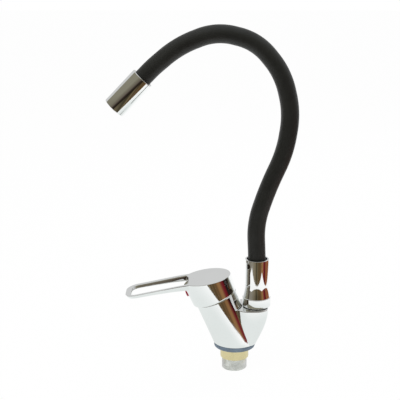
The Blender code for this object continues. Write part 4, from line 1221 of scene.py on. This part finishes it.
def tube_form(start, end, radius, wall):
    """A tube wall that follows the hose from one distance to another."""
    form = bmesh.new()
    steps = max(2, round((end - start) / HOSE_STEP))
    points = [form.verts.new((radius, 0, 0)), form.verts.new((radius - wall, 0, 0))]
    edge = form.edges.new(points)
    bmesh.ops.spin(
        form, geom=[*points, edge], cent=(0, 0, 0), axis=(0, 0, 1), angle=2 * pi,
        steps=HOSE_SIDES, use_merge=True,
    )
    ring = form.faces[:]
    first = hose_frame(start)
    previous = first
    bmesh.ops.transform(form, matrix=first, verts=form.verts)
    for k in range(1, steps + 1):
        grown = bmesh.ops.extrude_face_region(form, geom=ring, use_keep_orig=(k == 1))
        ring = [g for g in grown["geom"] if isinstance(g, bmesh.types.BMFace)]
        verts = [g for g in grown["geom"] if isinstance(g, bmesh.types.BMVert)]
        here = hose_frame(start + (end - start) * k / steps)
        bmesh.ops.transform(form, matrix=here @ previous.inverted(), verts=verts)
        previous = here
    bmesh.ops.recalc_face_normals(form, faces=form.faces)
    return form


class FAUCET_OT_hose(bpy.types.Operator):
    """Make the charcoal sleeve of the hose, one stretch across each bend point"""

    bl_idname = "faucet.hose"
    bl_label = "Hose"

    def execute(self, context):
        size = sizes("faucet_hose")
        edges = [HOSE_START]
        edges += [(one + two) / 2 for one, two in zip(BENDS, BENDS[1:])]
        edges.append(HOSE_LENGTH + HOSE_TAIL)
        for k, bend in enumerate(BENDS):
            form = tube_form(edges[k], edges[k + 1], size.radius, size.wall)
            nodes = [f"hose_sleeve_{k}"]
            if k == len(BENDS) - 1:
                nodes.append(f"hose_sleeve_{k + 1}")
            obj = finished(
                f"hose_skin_{k}", form, None, MATERIALS["dark_silicone"], "dark_silicone",
                *nodes,
            )
            start = hose_frame(bend - size.blend_reach).translation
            end = hose_frame(bend + size.blend_reach).translation
            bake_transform(obj)
        return {"FINISHED"}


# Outlet

OUTLET_LENGTH = 0.0437
OUTLET_RADIUS = 0.0125
OUTLET_BORE = 0.0112
OUTLET_LIP = 0.0099
OUTLET_LIP_DEPTH = 0.002
OUTLET_OUTLINE = [
    (OUTLET_BORE, OUTLET_LENGTH, 0.0003),
    (OUTLET_RADIUS, OUTLET_LENGTH, 0.0006),
    (OUTLET_RADIUS, 0, 0.0008),
    (OUTLET_LIP, 0, 0.0003),
    (OUTLET_LIP, OUTLET_LIP_DEPTH),
    (OUTLET_BORE, OUTLET_LIP_DEPTH),
]
AERATOR_LOW = 0.0326
AERATOR_HIGH = 0.0430
AERATOR_RADIUS = 0.0109
AERATOR_OUTLINE = [
    (0.0092, AERATOR_HIGH - 0.0012),
    (0.0098, AERATOR_HIGH),
    (AERATOR_RADIUS, AERATOR_HIGH, 0.0004),
    (AERATOR_RADIUS, AERATOR_LOW, 0.0004),
    (0, AERATOR_LOW),
    (0, AERATOR_HIGH - 0.0034),
    (0.0088, AERATOR_HIGH - 0.0026),
]
SCREEN_RADIUS = 0.0093
SCREEN_PITCH = 0.00135
SCREEN_BARS = 6  # to either side of the middle one
SCREEN_BAR_WIDTH = 0.00035
SCREEN_BAR_HEIGHT = 0.0005
SCREEN_DEPTH = 0.0016  # just under the disc that closes the ring
SCREEN_WEAVE = 0.0001  # how far one set of bars lies over the other


class FAUCET_OT_outlet(bpy.types.Operator):
    """Make the chrome outlet sleeve and the aerator in it"""

    bl_idname = "faucet.outlet"
    bl_label = "Outlet"

    def execute(self, context):
        place = hose_frame(HOSE_LENGTH)
        finished(
            "outlet_tube", spun(OUTLET_OUTLINE, place, bored=True), "outlet",
            MATERIALS["chrome"], "chrome", "aerator_sleeve",
        )
        finished(
            "aerator_screen", aerator_form(place), "outlet", MATERIALS["white_plastic"],
            "white_plastic", "aerator_insert",
        )
        return {"FINISHED"}


def screen_bar(k, turn):
    """One bar of the screen, its number counted from the middle."""
    aside = k * SCREEN_PITCH
    length = 2 * (SCREEN_RADIUS**2 - aside**2) ** 0.5
    height = AERATOR_HIGH - SCREEN_DEPTH + (SCREEN_WEAVE if turn else 0)
    bar = box_form((length, SCREEN_BAR_WIDTH, SCREEN_BAR_HEIGHT), (0, aside, height))
    bmesh.ops.rotate(bar, verts=bar.verts, cent=(0, 0, 0), matrix=Matrix.Rotation(turn, 3, "Z"))
    return mesh_of(bar, "screen_bar")


def aerator_form(place):
    """The aerator: a stepped ring closed by a plain disc, over a fine square screen."""
    form = spun(AERATOR_OUTLINE, steps=FINE_STEPS)
    bmesh.ops.holes_fill(form, edges=[e for e in form.edges if e.is_boundary])
    for k in range(-SCREEN_BARS, SCREEN_BARS + 1):
        for turn in (0, pi / 2):
            mesh = screen_bar(k, turn)
            form.from_mesh(mesh)
            bpy.data.meshes.remove(mesh)
    bmesh.ops.transform(form, matrix=place, verts=form.verts)
    return form


# Inner pieces

NODE_FINISH = {
    "black_rubber": ["cartridge_base_seal", "spout_oring_lower", "spout_oring_upper",
                     "aerator_washer"],
    "white_plastic": ["cartridge_housing", "stem_carrier", "disc_coupler", "spout_thrust_ring"],
    "ceramic": ["fixed_ceramic_disc", "moving_ceramic_disc"],
    "brass": ["cartridge_nut", "hose_tail", "outlet_adapter"],
    "steel": ["control_stem", "handle_screw", "pivot_pin", "spout_snap_ring", "lower_ferrule",
              "upper_ferrule"],
    "inner_tube": [f"hose_core_{k}" for k in range(len(BENDS) + 1)],
    "chrome": ["cartridge_dome"],
}


class FAUCET_OT_inner_pieces(bpy.types.Operator):
    """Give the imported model's own pieces their materials"""

    bl_idname = "faucet.inner_pieces"
    bl_label = "Inner pieces"

    def execute(self, context):
        for finish, names in NODE_FINISH.items():
            for name in names:
                data = NODES[name].data
                if not data.materials:
                    data.materials.append(MATERIALS[finish])
                for k in range(len(data.materials)):
                    data.materials[k] = MATERIALS[finish]
        return {"FINISHED"}


# Stage

KEY_LIGHT = {"place": (-0.5, -0.6, 1.3), "power": 9}
BACK_LIGHT = {"place": (0.6, 0.9, 1.2), "power": 6}
LIGHT_TARGET = (0, 0, 0.15)
LIGHT_SIZE = 1.2
PAPER_SIZE = 12
PAPER_COLOUR = (0.93, 0.93, 0.93, 1)
PAPER_SEEN_WHITE = 0.97  # share of plain white that the camera sees in the paper
ROOM_GLOW = 0.62  # what the world gives to all but the camera
CARD_GAP = 0.0005  # between the paper and a card, and between two cards
# painted reflection: the brown glow that the chrome mirrors as its brown bands
PAINTED_BROWN_REFLECTION = (0.26, 0.09, 0.04, 1)
ROOM_EDGE = 6.0
ROOM_WALL = 1.5
ROOM_HEIGHT = 2.2
ROOM_LEFT_END = 0.6
ROOM_RIGHT_END = 2.5
# where the painted brown reflection lies on the floor, right of the paper
BROWN_REFLECTION_PATCH = [(0.275, -0.03), (0.80, -0.10), (0.80, 0.30), (0.275, 0.30)]
PAPER_LEFT, PAPER_RIGHT = -0.285, 0.275
PAPER_FRONT, PAPER_BACK = -0.245, 0.30
# painted shadow: the paper's glow as the chrome sees it, grey round the tap and white from 0.26 m
# out
PAPER_PAINTED_SHADOW = [(0.0, (0.77, 0.80, 0.785)), (0.13, (0.80, 0.83, 0.82)), (0.26, (1.0, 1.0, 1.0))]
# painted reflection: the glow of the floor round the paper, as the chrome mirrors it
FLOOR_BY_ANGLE = [  # from the left hand (0) past the front (0.5) to the right hand (1)
    (0.05, (0.16, 0.145, 0.12)),
    (0.24, (0.22, 0.20, 0.16)),
    (0.42, (0.16, 0.13, 0.08)),
    (0.48, (0.05, 0.042, 0.025)),
    (0.51, (0.07, 0.055, 0.030)),
    (0.535, (0.17, 0.13, 0.070)),
    (0.56, (0.055, 0.040, 0.022)),
    (0.59, (0.125, 0.080, 0.038)),
    (0.63, (0.075, 0.048, 0.022)),
    (0.68, (0.135, 0.078, 0.034)),
    (0.70, (0.10, 0.058, 0.026)),
    (0.75, (0.235, 0.120, 0.048)),
    (0.80, (0.25, 0.128, 0.052)),
    (0.845, (0.16, 0.042, 0.028)),
    (0.875, (0.15, 0.013, 0.020)),
    (0.92, (0.11, 0.009, 0.011)),
    (0.955, (0.014, 0.010, 0.008)),
    (1.0, (0.022, 0.016, 0.013)),
]
FLOOR_BY_DEPTH = [  # by the share of the way to the wall in front
    (0.17, 1.15),
    (0.4, 1.0),
    (0.67, 0.7),
    (0.95, 0.18),
]
FLOOR_BY_DISTANCE = [(0.3, 1.0), (0.6, 0.3)]
# painted reflection: the glow of the wall in front, by height
WALL_BY_HEIGHT = [
    (0.02, (0.016, 0.011, 0.008)),
    (0.11, (0.040, 0.028, 0.022)),
    (0.17, (0.120, 0.100, 0.080)),
    (0.30, (0.165, 0.148, 0.110)),
    (0.50, (0.235, 0.220, 0.168)),
]


def object_distance(tree, reach=1.0):
    """The distance from an object's origin as a share of a reach."""
    place = tree.nodes.new("ShaderNodeTexCoord").outputs["Object"]
    length = tree.nodes.new("ShaderNodeVectorMath")
    length.operation = "LENGTH"
    tree.links.new(place, length.inputs[0])
    return math_node(tree, "MULTIPLY", length.outputs["Value"], 1 / reach)


def glow_tree(name):
    """A material that only glows, and its emission node."""
    material = bpy.data.materials.new(name)
    material.use_nodes = True
    tree = material.node_tree
    tree.nodes.clear()
    glow = tree.nodes.new("ShaderNodeEmission")
    out = tree.nodes.new("ShaderNodeOutputMaterial")
    tree.links.new(glow.outputs[0], out.inputs["Surface"])
    return material, glow


def room_floor_material():
    """The floor round the paper, a glowing card that paints reflections: its colour goes by
    direction and darkens with distance.
    """
    material, glow = glow_tree("room_floor")
    tree = material.node_tree
    x, y, _ = object_axes(tree)
    angle = math_node(tree, "ARCTAN2", x, math_node(tree, "MULTIPLY", y, -1))
    share = math_node(tree, "MULTIPLY_ADD", angle, 1 / pi, 0.5)
    tree.links.new(ramp_node(tree, share, FLOOR_BY_ANGLE), glow.inputs["Color"])
    depth = ramp_node(tree, math_node(tree, "MULTIPLY", y, -1 / ROOM_WALL), FLOOR_BY_DEPTH)
    far = ramp_node(tree, object_distance(tree, ROOM_EDGE), FLOOR_BY_DISTANCE)
    tree.links.new(math_node(tree, "MULTIPLY", depth, far), glow.inputs["Strength"])
    return material


def room_wall_material():
    """The wall in front, a glowing card that paints reflections: dark at the floor, paler higher up.
    """
    material, glow = glow_tree("room_wall")
    tree = material.node_tree
    height = math_node(tree, "MULTIPLY", object_axes(tree)[2], 1 / ROOM_HEIGHT)
    tree.links.new(ramp_node(tree, height, WALL_BY_HEIGHT), glow.inputs["Color"])
    return material


def stage_card(name, corners, material):
    """A flat card that only the chrome sees."""
    form = bmesh.new()
    form.faces.new([form.verts.new(corner) for corner in corners])
    obj = loose_object(mesh_of(form, name))
    obj.data.materials.append(material)
    obj.visible_camera = False
    obj.visible_diffuse = False
    obj.visible_shadow = False
    obj.visible_transmission = False
    obj.visible_volume_scatter = False


def upright_card(name, foot, height, material):
    """A card that stands on the floor along a line."""
    (x0, y0), (x1, y1) = foot
    top = FLOOR_HEIGHT + height
    corners = [(x0, y0, FLOOR_HEIGHT), (x1, y1, FLOOR_HEIGHT), (x1, y1, top), (x0, y0, top)]
    stage_card(name, corners, material)


def floor_material():
    """White paper: its own shade in the light, white to the camera; to the chrome it glows, with a
    painted shadow that greys it near the tap.
    """
    material = bpy.data.materials.new("white_paper")
    material.use_nodes = True
    tree = material.node_tree
    shader = tree.nodes["Principled BSDF"]
    shader.inputs["Base Color"].default_value = PAPER_COLOUR
    shader.inputs["Roughness"].default_value = 0.9
    shader.inputs["Specular IOR Level"].default_value = 0.1
    white = tree.nodes.new("ShaderNodeEmission")
    # the grey glow is a painted shadow round the tap, seen only in the chrome
    grey = tree.nodes.new("ShaderNodeEmission")
    tree.links.new(ramp_node(tree, object_distance(tree), PAPER_PAINTED_SHADOW), grey.inputs["Color"])
    path = tree.nodes.new("ShaderNodeLightPath")
    surface = shader.outputs[0]
    seen_white = math_node(tree, "MULTIPLY", path.outputs["Is Camera Ray"], PAPER_SEEN_WHITE)
    for share, glow in ((path.outputs["Is Glossy Ray"], grey), (seen_white, white)):
        mix = tree.nodes.new("ShaderNodeMixShader")
        tree.links.new(share, mix.inputs["Fac"])
        tree.links.new(surface, mix.inputs[1])
        tree.links.new(glow.outputs[0], mix.inputs[2])
        surface = mix.outputs[0]
    tree.links.new(surface, tree.nodes["Material Output"].inputs["Surface"])
    return material


def area_light(name, place, power):
    """A square soft light that the chrome doesn't mirror."""
    light = bpy.data.lights.new(name, "AREA")
    light.shape = "SQUARE"
    light.size = LIGHT_SIZE
    light.energy = power
    obj = loose_object(light)
    obj.location = place
    aim = Vector(LIGHT_TARGET) - Vector(place)
    obj.rotation_euler = aim.to_track_quat("-Z", "Y").to_euler()
    obj.visible_glossy = False


def make_camera(scene):
    """The camera that the photograph was taken from."""
    data = bpy.data.cameras.new("photo_camera")
    data.lens = CAMERA_LENS
    data.sensor_width = CAMERA_SENSOR
    data.clip_start, data.clip_end = CAMERA_CLIP
    camera = loose_object(data)
    camera.location = CAMERA_PLACE
    camera.rotation_euler = (CAMERA_PITCH, 0, 0)
    scene.camera = camera


def lay_paper():
    """The white paper that everything stands on."""
    form = bmesh.new()
    bmesh.ops.create_grid(form, x_segments=1, y_segments=1, size=PAPER_SIZE)
    bmesh.ops.translate(form, vec=(0, 0, FLOOR_HEIGHT), verts=form.verts)
    floor = loose_object(mesh_of(form, "floor"))
    floor.data.materials.append(floor_material())


def make_world(scene):
    """A plain white world: full white to the camera, dimmer to all else."""
    world = bpy.data.worlds.new("pale_room")
    scene.world = world
    world.use_nodes = True
    tree = world.node_tree
    back = tree.nodes["Background"]
    back.inputs["Color"].default_value = (1, 1, 1, 1)
    back.inputs["Strength"].default_value = ROOM_GLOW
    seen = tree.nodes.new("ShaderNodeBackground")
    seen.inputs["Color"].default_value = (1, 1, 1, 1)
    path = tree.nodes.new("ShaderNodeLightPath")
    mix = tree.nodes.new("ShaderNodeMixShader")
    tree.links.new(path.outputs["Is Camera Ray"], mix.inputs["Fac"])
    tree.links.new(back.outputs[0], mix.inputs[1])
    tree.links.new(seen.outputs[0], mix.inputs[2])
    tree.links.new(mix.outputs[0], tree.nodes["World Output"].inputs["Surface"])


def make_surroundings():
    """The room round the white paper as glowing cards, painted reflections for the chrome to mirror.
    """
    height = FLOOR_HEIGHT + CARD_GAP
    round_the_paper = [
        (-ROOM_EDGE, PAPER_BACK), (PAPER_LEFT, PAPER_BACK), (PAPER_LEFT, PAPER_FRONT),
        (PAPER_RIGHT, PAPER_FRONT), (PAPER_RIGHT, PAPER_BACK), (ROOM_EDGE, ROOM_RIGHT_END),
        (ROOM_EDGE, -ROOM_WALL), (-ROOM_EDGE, -ROOM_WALL),
    ]
    # a brown glowing patch: a painted reflection for the bands on the chrome
    brown_glow, glow = glow_tree("brown_reflection_glow")
    glow.inputs["Color"].default_value = PAINTED_BROWN_REFLECTION
    stage_card("brown_reflection_glow", [(x, y, height + CARD_GAP) for x, y in BROWN_REFLECTION_PATCH], brown_glow)
    stage_card("room_floor", [(x, y, height) for x, y in round_the_paper], room_floor_material())
    wall = room_wall_material()
    corner = (-ROOM_WALL, -ROOM_WALL)
    upright_card("room_front", [corner, (ROOM_EDGE, -ROOM_WALL)], ROOM_HEIGHT, wall)
    upright_card("room_left", [(-ROOM_WALL, ROOM_LEFT_END), corner], ROOM_HEIGHT, wall)


class FAUCET_OT_stage(bpy.types.Operator):
    """Make the camera, the floor, the light and what the chrome mirrors"""

    bl_idname = "faucet.stage"
    bl_label = "Stage"

    def execute(self, context):
        scene = context.scene
        make_camera(scene)
        lay_paper()
        make_surroundings()
        area_light("key_light", **KEY_LIGHT)
        area_light("back_light", **BACK_LIGHT)
        make_world(scene)
        scene.view_settings.view_transform = "Standard"
        return {"FINISHED"}


class FAUCET_PT_pieces(bpy.types.Panel):
    """The faucet's sizes and the pieces that can be made"""

    bl_idname = "FAUCET_PT_pieces"
    bl_label = "Faucet"
    bl_space_type = "VIEW_3D"
    bl_region_type = "UI"
    bl_category = "Faucet"

    def draw(self, context):
        for name in GROUPS:
            box = self.layout.box()
            group = sizes(name)
            for key in group.__annotations__:
                box.prop(group, key)
        for operator in OPERATORS:
            self.layout.operator(operator.bl_idname)


GROUPS = {
    "faucet_body": FaucetBodySizes,
    "faucet_handle": FaucetHandleSizes,
    "faucet_hose": FaucetHoseSizes,
    "faucet_colours": FaucetColours,
}
OPERATORS = [
    FAUCET_OT_stage,
    FAUCET_OT_body,
    FAUCET_OT_deck_fastening,
    FAUCET_OT_handle,
    FAUCET_OT_spout_collar,
    FAUCET_OT_hose,
    FAUCET_OT_outlet,
    FAUCET_OT_inner_pieces,
]
CLASSES = [*GROUPS.values(), *OPERATORS, FAUCET_PT_pieces]


def register():
    """Add the classes and the scene's groups of sizes."""
    for one in CLASSES:
        bpy.utils.register_class(one)
    for name, group in GROUPS.items():
        setattr(bpy.types.Scene, name, bpy.props.PointerProperty(type=group))


def unregister():
    """Take them away again."""
    for name in GROUPS:
        delattr(bpy.types.Scene, name)
    for one in reversed(CLASSES):
        bpy.utils.unregister_class(one)


def main():
    """Make the whole scene."""
    register()
    make_materials()
    bpy.ops.faucet.stage()
    bpy.ops.faucet.body()
    bpy.ops.faucet.deck_fastening()
    bpy.ops.faucet.handle()
    bpy.ops.faucet.spout_collar()
    bpy.ops.faucet.hose()
    bpy.ops.faucet.outlet()
    bpy.ops.faucet.inner_pieces()


if __name__ == "__main__":
    main()
